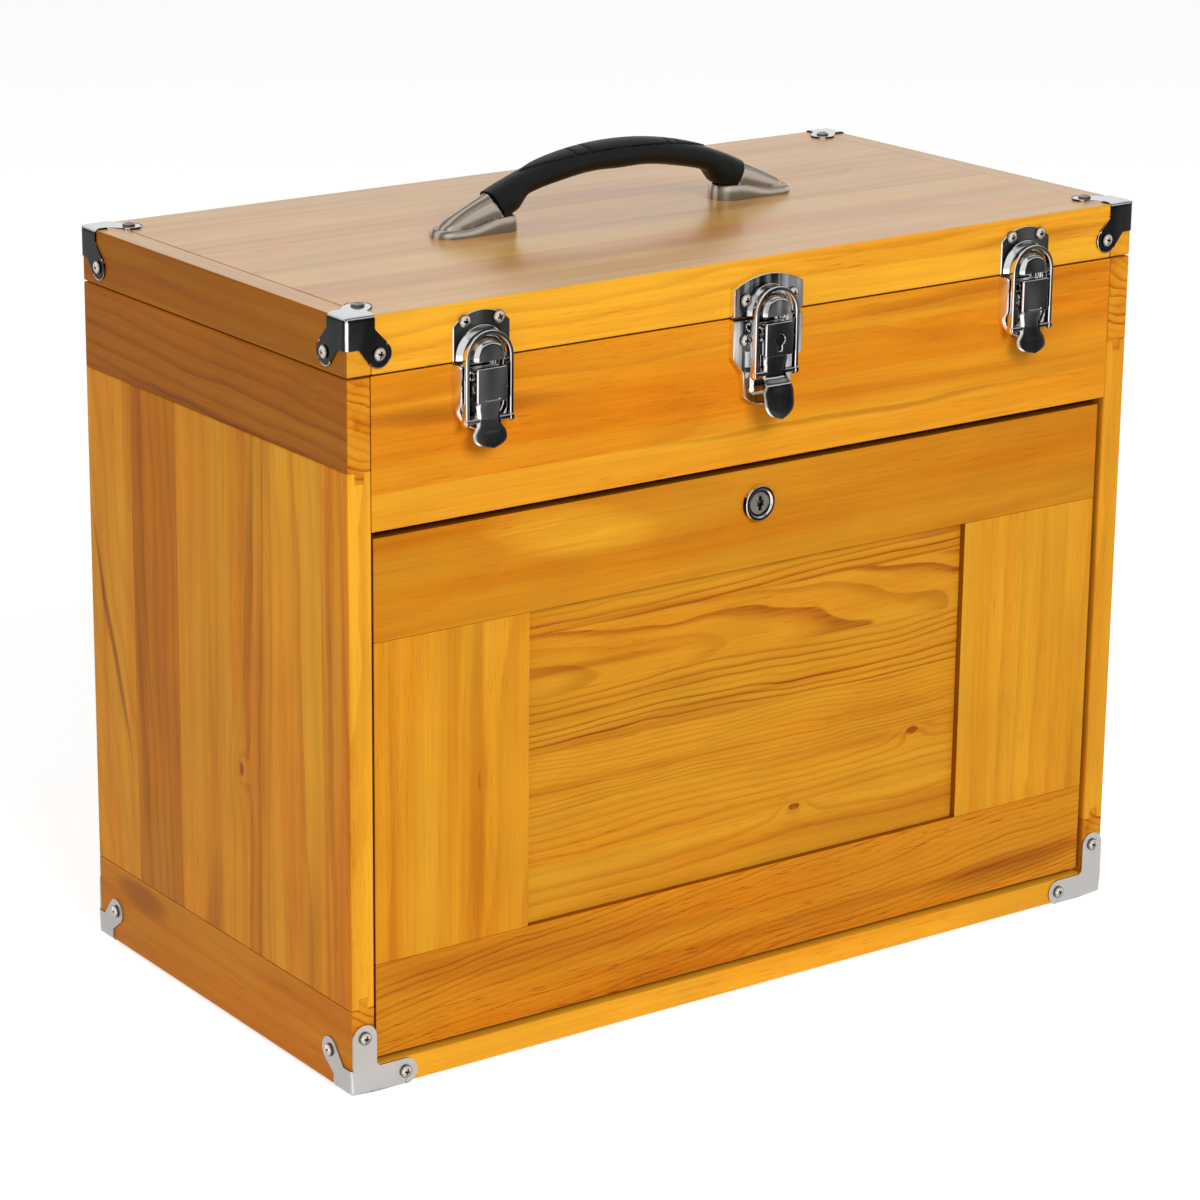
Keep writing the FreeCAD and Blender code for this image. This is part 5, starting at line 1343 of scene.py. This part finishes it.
def lock_shell():
    """The lock's rounded ring and its barrel, and the nut behind the panel."""
    rim = [(9.7 - 0.9 * (1 - math.cos(t)), 1.9 + 1.1 * math.sin(t)) for t in (0, 0.4, 0.8, 1.2, 1.57)]
    ring = [(6.15, -18.0), (8.0, -18.0), (8.0, 0.0), (9.5, 0.0), (9.7, 0.2)] + rim
    ring += [(8.1, 2.95), (7.8, 2.8), (7.5, 2.2), (7.1, 1.9), (6.3, 1.8), (6.15, 1.7)]
    nut = [(8.05, -19.3), (11.0, -19.3), (11.0, -16.4), (8.05, -16.4)]
    return [turned(ring), turned(nut, sides=6)]


PLUG_RADIUS = 6.0


def plug_face(across, rise):
    """How far out the plug's face is: a raised lip round its key slot, and a worn rim."""
    slot = max(abs(across) - 0.8, abs(rise) - 3.6)
    wing = max(abs(across) - 1.9, abs(rise) - 1.2)
    gap = min(slot, wing)
    out = 1.9 - 0.25 * clamped((math.hypot(across, rise) - 5.5) / 0.3)
    return out + 0.45 * clamped(1.2 - gap / 0.8) - 2.4 * clamped(0.5 - gap / 0.35)


def lock_plug():
    """The turning plug with its key slot."""
    form = bmesh.new()
    rings = 24
    steps = [(PLUG_RADIUS * ring / rings, None) for ring in range(1, rings + 1)]
    steps += [(PLUG_RADIUS, 1.2), (PLUG_RADIUS, -18.8)]
    rows = []
    for distance, level in steps:
        row = []
        for turn in round_steps(96):
            across, rise = distance * math.cos(turn), distance * math.sin(turn)
            out = plug_face(across, rise) if level is None else level
            row.append(form.verts.new(on_lock(across, out, rise)))
        rows.append(row)
    skin(form, rows, middle=form.verts.new(on_lock(0, -0.7, 0)))
    return closed(form)


def lock_cam():
    """The cam behind the plug."""
    form = bmesh.new()
    bmesh.ops.create_cube(form, size=1)
    half = 4.5 * MM
    low, high = (Vector(corner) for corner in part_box("front_lock_plug"))
    high.x = half
    low.y = high.y - 2.0 * MM
    low.z, high.z = LOCK_AXIS - half, LOCK_AXIS + half
    spans = high - low
    for vertex in form.verts:
        vertex.co = [low[axis] + (vertex.co[axis] + 0.5) * spans[axis] for axis in range(3)]
    ease(form, form.edges[:], 0.3 * MM)
    return closed(form)


# Screws


def screw_head():
    """A round head with a cross slot, seated at the origin and looking up."""
    sizes = bpy.context.scene.toolbox_screws
    form = bmesh.new()
    turns = round_steps(48)
    sink = sizes.head_height * 0.5
    rows = []
    sunk = []
    for ring in range(1, sizes.ring_count + 1):
        distance = sizes.head_radius * ring / sizes.ring_count
        row = []
        for turn in turns:
            x, y = distance * math.cos(turn), distance * math.sin(turn)
            dome = sizes.head_height * (1 - 0.66 * (distance / sizes.head_radius) ** 2.1)
            to_side = sizes.slot_width / 2 - min(abs(x), abs(y))
            to_end = sizes.slot_reach - max(abs(x), abs(y))
            depth = clamped(min(to_side, to_end) / (0.25 * MM) + 0.5)
            row.append(form.verts.new((x, y, dome - depth * sink)))
            # Slot depth and share of the radius, which the screw finish reads for its painted shade
            sunk.extend((depth, distance / sizes.head_radius, 0))
        rows.append(row)
    foot = [form.verts.new((v.co.x, v.co.y, 0)) for v in rows[-1]]
    shank = [form.verts.new((v.co.x * 0.45, v.co.y * 0.45, 0)) for v in rows[-1]]
    tip = [form.verts.new((v.co.x, v.co.y, -3 * MM)) for v in shank]
    middle = form.verts.new((0, 0, sizes.head_height - sink))
    sunk.extend((0, 1, 0) * (3 * len(turns)) + (1, 0, 0))
    skin(form, rows + [foot, shank, tip], middle=middle)
    mesh = as_mesh(form)
    keep(mesh, "sunk", "POINT", sunk)
    return smooth_mesh("screw_head", mesh, angle=38)


SCREW_MIDDLES = {"case_screws": (0, 0, 0.19), "lid_screws": (0, 0, 0.39)}
SCREW_SEED = 7
SCREW_INPUTS = {
    "Places": "NodeSocketGeometry",
    "Head": "NodeSocketObject",
    "Scale": "NodeSocketFloat",
    "Finish": "NodeSocketMaterial",
    "Seed": "NodeSocketInt",
}


def screw_tree():
    """Geometry Nodes that set a head on each point, along its facing."""
    tree = bpy.data.node_groups.new("Screw heads", "GeometryNodeTree")
    for name, kind in SCREW_INPUTS.items():
        tree.interface.new_socket(name, in_out="INPUT", socket_type=kind)
    tree.interface.new_socket("Screws", in_out="OUTPUT", socket_type="NodeSocketGeometry")
    sheet = Sheet(tree)
    add = sheet.add
    vectors = {"data_type": "FLOAT_VECTOR"}
    given = sheet.outlets("NodeGroupInput")
    asked = {"As Instance": True, "Object": given["Head"]}
    head = add("GeometryNodeObjectInfo", values=asked, output="Geometry")
    facing = add("GeometryNodeInputNamedAttribute", vectors, {"Name": "facing"}, "Attribute")
    upright = add("FunctionNodeAlignRotationToVector", {"axis": "Z"}, {"Vector": facing}, "Rotation")
    turns = {0: (0, 0, 0), 1: (0, 0, math.tau), "Seed": given["Seed"]}
    chance = add("FunctionNodeRandomValue", vectors, turns)
    spin = add("FunctionNodeEulerToRotation", values={0: chance})
    both = {"Rotation": upright, "Rotate By": spin}
    turned_head = add("FunctionNodeRotateRotation", {"rotation_space": "LOCAL"}, both, "Rotation")
    where = {"Points": given["Places"], "Scale": given["Scale"]}
    what = {"Instance": head, "Rotation": turned_head}
    heads = add("GeometryNodeInstanceOnPoints", values=where | what, output="Instances")
    real = add("GeometryNodeRealizeInstances", values={"Geometry": heads}, output="Geometry")
    painted = {"Geometry": real, "Material": given["Finish"]}
    heads = add("GeometryNodeSetMaterial", values=painted, output="Geometry")
    sheet.end("NodeGroupOutput", "Screws", heads)
    return tree


def set_inputs(modifier, values):
    """Sets a Geometry Nodes modifier's inputs by the names of their sockets."""
    for item in modifier.node_group.interface.items_tree:
        if item.in_out == "INPUT" and item.name in values:
            modifier[item.identifier] = values[item.name]


def screw_places(node, middle):
    """Seat and facing of each screw of a CAD node, whose head looks away from the middle."""
    height = bpy.context.scene.toolbox_screws.head_height
    seats = []
    facings = []
    for form in solids(node):
        low, high = reach(form)
        form.free()
        seat = (low + high) / 2
        along = max(range(3), key=lambda axis: high[axis] - low[axis])
        side = 1 if seat[along] > middle[along] else -1
        seat[along] = (high if side > 0 else low)[along] - side * height
        seats.append(seat)
        facings.extend(float(side * (axis == along)) for axis in range(3))
    return seats, facings


# Stage: places in metres, turns in degrees

LAMP_WIDTH = 1.6
LAMP_TARGET = Vector((0, 0, 0.2))
KEY_PLACE = (-0.3, -2.75, 1.9)
FILL_PLACE = (-2.6, 0.3, 1.3)
CAMERA_PLACE = (-1.20814, -1.65577, 0.82634)
CAMERA_TURNS = (73.8627, 0.1281, -33.2839)
CAMERA_SHIFT = (0.1455, -0.0694)
SENSOR_WIDTH = 36
FLOOR_REACH = 6
FLOOR_GAP = 0.0002


def set_thing(name, data, place):
    """Puts a lamp or a camera in the scene."""
    thing = bpy.data.objects.new(name, data)
    bpy.context.scene.collection.objects.link(thing)
    thing.location = place
    return thing


def area_lamp(name, place, power):
    """A large soft lamp that shines on the object."""
    lamp = bpy.data.lights.new(name, "AREA")
    lamp.shape = "RECTANGLE"
    lamp.size = LAMP_WIDTH
    lamp.size_y = LAMP_WIDTH * 0.8
    lamp.energy = power
    holder = set_thing(name, lamp, place)
    holder.visible_glossy = False
    holder.rotation_euler = (LAMP_TARGET - Vector(place)).to_track_quat("-Z", "Y").to_euler()


def set_camera(focal_length):
    """The camera of the photograph's view."""
    lens = bpy.data.cameras.new("camera")
    lens.lens = focal_length
    lens.sensor_width = SENSOR_WIDTH
    lens.shift_x, lens.shift_y = CAMERA_SHIFT
    camera = set_thing("camera", lens, CAMERA_PLACE)
    camera.rotation_euler = [math.radians(turn) for turn in CAMERA_TURNS]
    bpy.context.scene.camera = camera


def seen_rays(sheet):
    """1 for what the camera sees, straight, in gloss or through glass."""
    rays = sheet.outlets("ShaderNodeLightPath")
    return rays["Is Camera Ray"].larger(rays["Is Glossy Ray"]).larger(rays["Is Transmission Ray"])


def floor_finish():
    """White floor that keeps a soft shadow."""
    tree = Finish("stage_floor")
    matt = tree.add("ShaderNodeBsdfDiffuse", values={"Color": (0.9, 0.9, 0.9, 1)})
    glow = tree.add("ShaderNodeEmission", values={"Strength": seen_rays(tree) * 0.62})
    return tree.made(tree.add("ShaderNodeAddShader", values={0: matt, 1: glow}))


def set_world(sky):
    """White behind the object, and an even plain light on it."""
    world = bpy.data.worlds.new("stage_sky")
    world.use_nodes = True
    sheet = Sheet(world.node_tree)
    strength = seen_rays(sheet) * (1 - sky) + sky
    light = sheet.add("ShaderNodeBackground", values={"Strength": strength})
    sheet.end("ShaderNodeOutputWorld", "Surface", light)
    bpy.context.scene.world = world


class TOOLBOX_OT_stage(bpy.types.Operator):
    """Sets the floor, the lamps and the camera"""

    bl_idname = "toolbox.stage"
    bl_label = "Stage"

    def execute(self, context):
        settings = context.scene.toolbox_stage
        context.scene.view_settings.view_transform = "Standard"
        form = bmesh.new()
        bmesh.ops.create_grid(form, x_segments=8, y_segments=8, size=FLOOR_REACH)
        bmesh.ops.translate(form, verts=form.verts, vec=(0, 0, CAD_BOX[0][2] - FLOOR_GAP))
        mesh = as_mesh(form)
        mesh.materials.append(floor_finish())
        floor = bpy.data.objects.new("stage_floor", mesh)
        context.scene.collection.objects.link(floor)
        set_world(settings.sky)
        area_lamp("key_lamp", KEY_PLACE, settings.key_power)
        area_lamp("fill_lamp", FILL_PLACE, settings.fill_power)
        set_camera(settings.lens)
        return {"FINISHED"}


# Boards as they look on the real one: places and spacings in millimetres from each board's middle

LEFT_SIDE = {
    "order": "Y",
    "front": {"tone": 1.12, "red": 0.05},
    "boards": (
        Board(1.0, 0.55, 0.45, 60, 30, 9, 0.01, 0.03, 3.1, spot=(0, 5, 170, 4, 0.02, 0.6)),
        Board(1.0, 0.4, 0.3, 60, 34, 13, 0.03, 0.03, 7.7, spot=(-190, -9, 155, 12, -0.05, 0.55)),
        Board(
            0.94, 0.55, 0.6, 90, 20, 9, -0.03, 0.02, 11.3,
            spot=(45, -1, 120, 4.5, -0.05, 0.7),
            knot=(-42, 8.5, 2.3),
        ),
        Board(0.95, 0.6, 0.3, 70, 30, 12, -0.02, 0.03, 14.9, spot=(-165, -5, 82, 12, -0.1, 0.55)),
        Board(0.78, 0.9, 0.4, 50, 30, 8, 0.02, 0.03, 19.2, spot=(40, 17, 170, 9, 0, 0.4)),
        Board(0.95, 0.65, 0.4, -60, 25, 12, 0.25, 0.02, 23.8, spot=(-7, 1, 80, 3.4, 0.3, 1.1)),
    ),
}
RIGHT_SIDE = {
    "order": "Y",
    "front": {"tone": 1.0, "red": 0.25},
    "boards": tuple(
        board._replace(figure=0.4, seed=board.seed + 40, spot=NO_SPOT, knot=NO_KNOT)
        for board in LEFT_SIDE["boards"]
    ),
}
LEFT_CLEATS = {
    "order": "Z",
    "front": {"tone": 1.02, "red": 0.7, "figure": 1.0, "spacing": 4.5},
    "boards": (
        Board(0.86, 0.85, 0.3, 60, 30, 9, 0.01, 0.02, 26.4, spot=(84, 9, 34, 10, 0.05, 0.9)),
        Board(0.58, 1.0, 0.75, 70, 30, 8, 0.03, 0.02, 28.9, spot=(40, -18, 120, 4, 0.01, 0.5)),
    ),
}
RIGHT_CLEATS = {
    "order": "Z",
    "front": LEFT_CLEATS["front"],
    "boards": (
        Board(0.9, 0.75, 0.3, 60, 30, 9, 0.01, 0.02, 66.4),
        Board(0.72, 0.9, 0.5, 70, 30, 8, 0.03, 0.02, 68.9),
    ),
}
LID_SIDES = {
    "order": "X",
    "up": {"finish": 1, "tone": 1.0, "red": 0.2},
    "front": {"tone": 1.05, "red": 0.4},
    "boards": (
        Board(0.56, 1.0, 0.5, 60, 30, 9, 0.01, 0.02, 29.7),
        Board(0.72, 0.8, 0.5, 60, 30, 9, 0.01, 0.02, 30.6),
    ),
}
LID_RAILS = {
    "order": "Y",
    "up": {"finish": 1, "tone": 1.05, "red": 0.2},
    "boards": (
        Board(1.12, 0.1, 0.4, 60, 30, 9, 0.01, 0.02, 33.3, spot=(185, 2, 70, 6, 0, 0.5)),
        Board(1.0, 0.2, 0.4, 60, 30, 9, 0.01, 0.02, 35.2),
    ),
}
LID_PLANKS = {
    "order": "Y",
    "boards": (
        Board(1.04, 0.25, 0.3, 60, 40, 14, 0.01, 0.02, 93.1),
        Board(1.0, 0.35, 0.35, -20, 34, 13, 0.01, 0.03, 95.6),
        Board(1.07, 0.15, 0.25, 80, 40, 15, 0.0, 0.02, 97.2),
        Board(0.98, 0.3, 0.35, -70, 30, 12, 0.01, 0.02, 98.9),
        Board(1.05, 0.2, 0.3, 10, 40, 14, 0.01, 0.03, 101.3),
        Board(1.0, 0.3, 0.3, 75, 40, 12, 0.0, 0.02, 103.8),
        Board(1.06, 0.15, 0.3, -60, 40, 14, 0.01, 0.02, 105.5),
        Board(1.02, 0.25, 0.3, 60, 40, 13, 0.01, 0.02, 107.7),
    ),
}
BASE_BOARD = {
    "order": "Z",
    "boards": (
        Board(1.12, 0.0, 0.25, 60, 40, 11, 0.01, 0.02, 110.3, spot=(250, 0, 150, 60, 0, 0.6)),
    ),
}
# Painted shade: faces of a board that look up, down or sideways are darker, for the shade in the seams
# between boards
PAINTED_SEAM_SHADE = {"tone": 0.4, "red": 0.9}
TILL_FRONT = {
    "edges": PAINTED_SEAM_SHADE,
    "strips": ("Z", (315, 359)),
    "boards": (
        Board(1.1, 0.5, 0.25, 60, 40, 9, 0.01, 0.02, 31.5, spot=(65, -21.5, 175, 2.2, 0, 0.6)),
        Board(1.08, 0.75, 0.45, -4, 32, 10, 0.01, 0.03, 37.1, spot=(-190, 15, 78, 8, -0.02, 0.8)),
        Board(1.06, 0.7, 0.3, 90, 30, 8, 0.01, 0.02, 41.9, spot=(150, 32, 120, 6, 0, 0.4)),
    ),
}
FRONT_RAILS = {
    "order": "Z",
    "edges": PAINTED_SEAM_SHADE,
    "boards": (
        Board(0.91, 0.6, 0.65, 70, 28, 2.9, 0.09, 0.02, 46.3, 1, (185, -12, 70, 10, 0.05, 0.7)),
        # The top rail's paler patch at its left is a painted highlight of the lacquer's sheen
        Board(0.87, 0.7, 0.25, 10, 36, 9, 0.01, 0.06, 52.8, 0, (-118, 12, 62, 17, -0.15, -0.7)),
    ),
}
FRONT_STILES = {
    "order": "X",
    "edges": PAINTED_SEAM_SHADE,
    "boards": (
        Board(0.98, 0.4, 0.3, 60, 40, 12, 0.01, 0.02, 57.6, spot=(-10, 15, 150, 6, 0.02, 0.5)),
        Board(0.94, 0.25, 0.25, 70, 30, 12, 0.0, 0.02, 61.4),
    ),
}
CENTRE_PANEL = {
    "strips": ("Z", (97, 126, 158, 190, 223)),
    "boards": (
        Board(0.90, 0.3, 0.4, 90, 30, 7, 0.01, 0.01, 66.2, knot=(33, -57, 2.1)),
        Board(0.90, 0.3, 0.5, 90, 30, 5, 0.01, 0.01, 70.5, knot=(115, -29, 2.3)),
        Board(0.89, 0.3, 0.55, 110, 30, 2.6, 0.0, 0.01, 73.3),
        Board(0.87, 0.35, 0.95, 120, 30, 4.0, 0.0, 0.01, 77.7),
        Board(0.89, 0.35, 1.0, 44, 26, 6.5, 0.0, 0.09, 81.1),
        Board(0.90, 0.45, 0.9, 140, 26, 4.5, 0.01, 0.02, 85.9),
    ),
}


class TOOLBOX_OT_case(bpy.types.Operator):
    """Builds the boards of the case"""

    bl_idname = "toolbox.case"
    bl_label = "Case boards"

    def execute(self, context):
        corner = context.scene.toolbox_wood.corner_round
        sides = (
            ("left_side_planks", LEFT_SIDE, "Z"),
            ("right_side_planks", RIGHT_SIDE, "Z"),
            ("left_side_cleats", LEFT_CLEATS, "Y"),
            ("right_side_cleats", RIGHT_CLEATS, "Y"),
        )
        for node, plan, grain in sides:
            dress_boards(node, "case_wood", plan, group=True, rounding=corner, grain=grain)
        dress_boards("till_front_board", "case_wood", TILL_FRONT, grain="X")
        dress_boards("base_board", "case_wood", BASE_BOARD, grain="X")
        dress_boards("back_panel", "inner_wood", grain="X")
        for node in ("till_floor", "slot_deck", "wide_shelf", "drawer_partitions", "small_shelves"):
            dress_boards(node, "inner_wood", rounding=0.3 * MM)
        return {"FINISHED"}


class TOOLBOX_OT_lid(bpy.types.Operator):
    """Builds the rails and planks of the lid"""

    bl_idname = "toolbox.lid"
    bl_label = "Lid boards"

    def execute(self, context):
        corner = context.scene.toolbox_wood.corner_round
        woods = ("case_wood", "lid_top_wood")
        rails = "lid_front_and_back_rails"
        dress_boards("lid_side_rails", "case_wood", LID_SIDES, woods, rounding=corner, grain="Y")
        dress_boards(rails, "case_wood", LID_RAILS, woods, group=True, rounding=corner, grain="X")
        dress_boards("lid_top_planks", "lid_top_wood", LID_PLANKS, rounding=0.0)
        return {"FINISHED"}


class TOOLBOX_OT_drop_front(bpy.types.Operator):
    """Builds the framed panel that drops in front of the drawers"""

    bl_idname = "toolbox.drop_front"
    bl_label = "Drop front"

    def execute(self, context):
        woods = ("case_wood", "rail_wood")
        dress_boards("front_rails", "case_wood", FRONT_RAILS, woods, grain="X")
        dress_boards("front_stiles", "case_wood", FRONT_STILES, grain="Z")
        dress_boards("front_centre_panel", "case_wood", CENTRE_PANEL, grain="X")
        soft_solid("front_pivot_pins", "steel")
        return {"FINISHED"}


class TOOLBOX_OT_drawers(bpy.types.Operator):
    """Builds the eight drawers and their knobs"""

    bl_idname = "toolbox.drawers"
    bl_label = "Drawers"

    def execute(self, context):
        for node in SMALL_DRAWERS + ("wide_bottom_drawer",):
            dress_boards(node, "inner_wood", rounding=0.4 * MM)
        for node in SMALL_DRAWERS:
            soft_solid(node + "_knob", "chrome")
        soft_solid("wide_bottom_drawer_knobs", "chrome")
        return {"FINISHED"}


class TOOLBOX_OT_linings(bpy.types.Operator):
    """Lays the felt in the till and under the lid"""

    bl_idname = "toolbox.linings"
    bl_label = "Felt linings"

    def execute(self, context):
        for node in ("till_felt", "lid_felt"):
            soft_solid(node, "felt", rounding=0.5 * MM, segments=3)
        return {"FINISHED"}


class TOOLBOX_OT_corner_brackets(bpy.types.Operator):
    """Builds the bright top corners and the plain foot brackets"""

    bl_idname = "toolbox.corner_brackets"
    bl_label = "Corner brackets"

    def execute(self, context):
        sizes = context.scene.toolbox_metal
        bend = sizes.corner_bend
        curve = sizes.corner_curve
        soft_solid("lid_corner_brackets", "chrome", rounding=0.25 * MM, bend=bend, curve=curve)
        soft_solid("bottom_corner_brackets", "steel", rounding=0.2 * MM, bend=bend)
        return {"FINISHED"}


class TOOLBOX_OT_latches(bpy.types.Operator):
    """Builds the three draw latches"""

    bl_idname = "toolbox.latches"
    bl_label = "Latches"

    def execute(self, context):
        outer = [LATCHES["left"], LATCHES["right"]]
        centre = LATCHES["centre"]
        bases = [outer_base(latch) for latch in outer]
        bases += [ear for latch in outer for ear in base_ears(latch)]
        plating = ("latch_chrome",)
        tray = ("tray_chrome",)
        catches = [catch_plate(latch) for latch in outer]
        show_metal(catches, "outer_catch_plates", "chrome", plating)
        show_metal(bases, "outer_latch_bases", "chrome", tray)
        show_metal([catch_plate(centre)], "centre_catch_plate", "chrome", ("plate_chrome",))
        base = [centre_base(centre)] + base_ears(centre)
        show_metal(base, "centre_latch_base", "chrome", tray)
        for side, latch in LATCHES.items():
            # The centre lever's second material is the painted shade inside its keyhole
            gap = ("dark_gap",) if latch is centre else ()
            show_metal(loop_strip(latch), side + "_latch_loop", "chrome", plating)
            show_metal(lever_parts(latch), side + "_latch_lever", "chrome", plating + gap)
        soft_solid("latch_lever_pins", "chrome")
        soft_solid("centre_latch_bolt", "steel")
        return {"FINISHED"}


class TOOLBOX_OT_handle(bpy.types.Operator):
    """Builds the grip and its two ends"""

    bl_idname = "toolbox.handle"
    bl_label = "Handle"

    def execute(self, context):
        ends = [handle_end(-1), handle_end(1)]
        show_metal(ends, "handle_end_brackets", "satin_nickel", angle=50)
        grip = smooth_mesh("handle_grip_mould", grip_form(), angle=60)
        show(grip, "handle_grip", "grip_plastic", "_mould", ("grip_plastic", "grip_inlay"))
        soft_solid("handle_bolts", "steel")
        return {"FINISHED"}


class TOOLBOX_OT_lock(bpy.types.Operator):
    """Builds the round key lock of the drop front"""

    bl_idname = "toolbox.lock"
    bl_label = "Front lock"

    def execute(self, context):
        show_metal(lock_shell(), "front_lock_housing", "chrome")
        show_metal([lock_plug(), lock_cam()], "front_lock_plug", "chrome", ("lock_face",))
        return {"FINISHED"}


class TOOLBOX_OT_hinges(bpy.types.Operator):
    """Builds the two hinges of the lid"""

    bl_idname = "toolbox.hinges"
    bl_label = "Hinges"

    def execute(self, context):
        soft_solid("case_hinge_leaves_and_pins", "steel", rounding=0.2 * MM)
        soft_solid("lid_hinge_leaves", "steel", rounding=0.2 * MM)
        return {"FINISHED"}


class TOOLBOX_OT_screws(bpy.types.Operator):
    """Sets a cross-slot head on every screw of the case and the lid"""

    bl_idname = "toolbox.screws"
    bl_label = "Screws"

    def execute(self, context):
        head = bpy.data.objects.new("screw_head", screw_head())
        context.scene.collection.objects.link(head)
        tree = screw_tree()
        for node, middle in SCREW_MIDDLES.items():
            seats, facings = screw_places(node, middle)
            mesh = bpy.data.meshes.new(node)
            mesh.from_pydata(seats, [], [])
            keep(mesh, "facing", "POINT", facings)

            def add_heads(piece):
                modifier = piece.modifiers.new("Screw heads", "NODES")
                modifier.node_group = tree
                nickel = finish("screw_nickel")
                values = {"Head": head, "Scale": 1.0, "Finish": nickel, "Seed": SCREW_SEED}
                set_inputs(modifier, values)

            heads = finished(node + "_heads", mesh, add_heads)
            show(heads, node, "chrome", "_heads", ("screw_nickel",))
        bpy.data.objects.remove(head)
        return {"FINISHED"}


class TOOLBOX_PT_panel(bpy.types.Panel):
    """Sizes, colours and pieces of the toolbox"""

    bl_idname = "TOOLBOX_PT_panel"
    bl_label = "Machinist toolbox"
    bl_space_type = "VIEW_3D"
    bl_region_type = "UI"
    bl_category = "Toolbox"

    def draw(self, context):
        for name in SETTINGS:
            group = getattr(context.scene, name)
            box = self.layout.box()
            for field in group.bl_rna.properties:
                if field.identifier not in ("name", "rna_type"):
                    box.prop(group, field.identifier)
        for step in STEPS:
            self.layout.operator(step.bl_idname)


SETTINGS = {
    "toolbox_stage": StageSettings,
    "toolbox_wood": WoodSettings,
    "toolbox_metal": MetalSettings,
    "toolbox_screws": ScrewSettings,
}
STEPS = (
    TOOLBOX_OT_stage,
    TOOLBOX_OT_case,
    TOOLBOX_OT_lid,
    TOOLBOX_OT_drop_front,
    TOOLBOX_OT_drawers,
    TOOLBOX_OT_linings,
    TOOLBOX_OT_corner_brackets,
    TOOLBOX_OT_latches,
    TOOLBOX_OT_handle,
    TOOLBOX_OT_lock,
    TOOLBOX_OT_hinges,
    TOOLBOX_OT_screws,
)


def register():
    """Adds the settings, the operators and the panel."""
    for name, group in SETTINGS.items():
        bpy.utils.register_class(group)
        setattr(bpy.types.Scene, name, PointerProperty(type=group))
    for step in STEPS + (TOOLBOX_PT_panel,):
        bpy.utils.register_class(step)


def unregister():
    """Takes them away again."""
    for step in STEPS + (TOOLBOX_PT_panel,):
        bpy.utils.unregister_class(step)
    for name, group in SETTINGS.items():
        delattr(bpy.types.Scene, name)
        bpy.utils.unregister_class(group)


def main():
    """Builds every piece in order."""
    register()
    for step in STEPS:
        section, name = step.bl_idname.split(".")
        getattr(getattr(bpy.ops, section), name)()


if __name__ == "__main__":
    main()
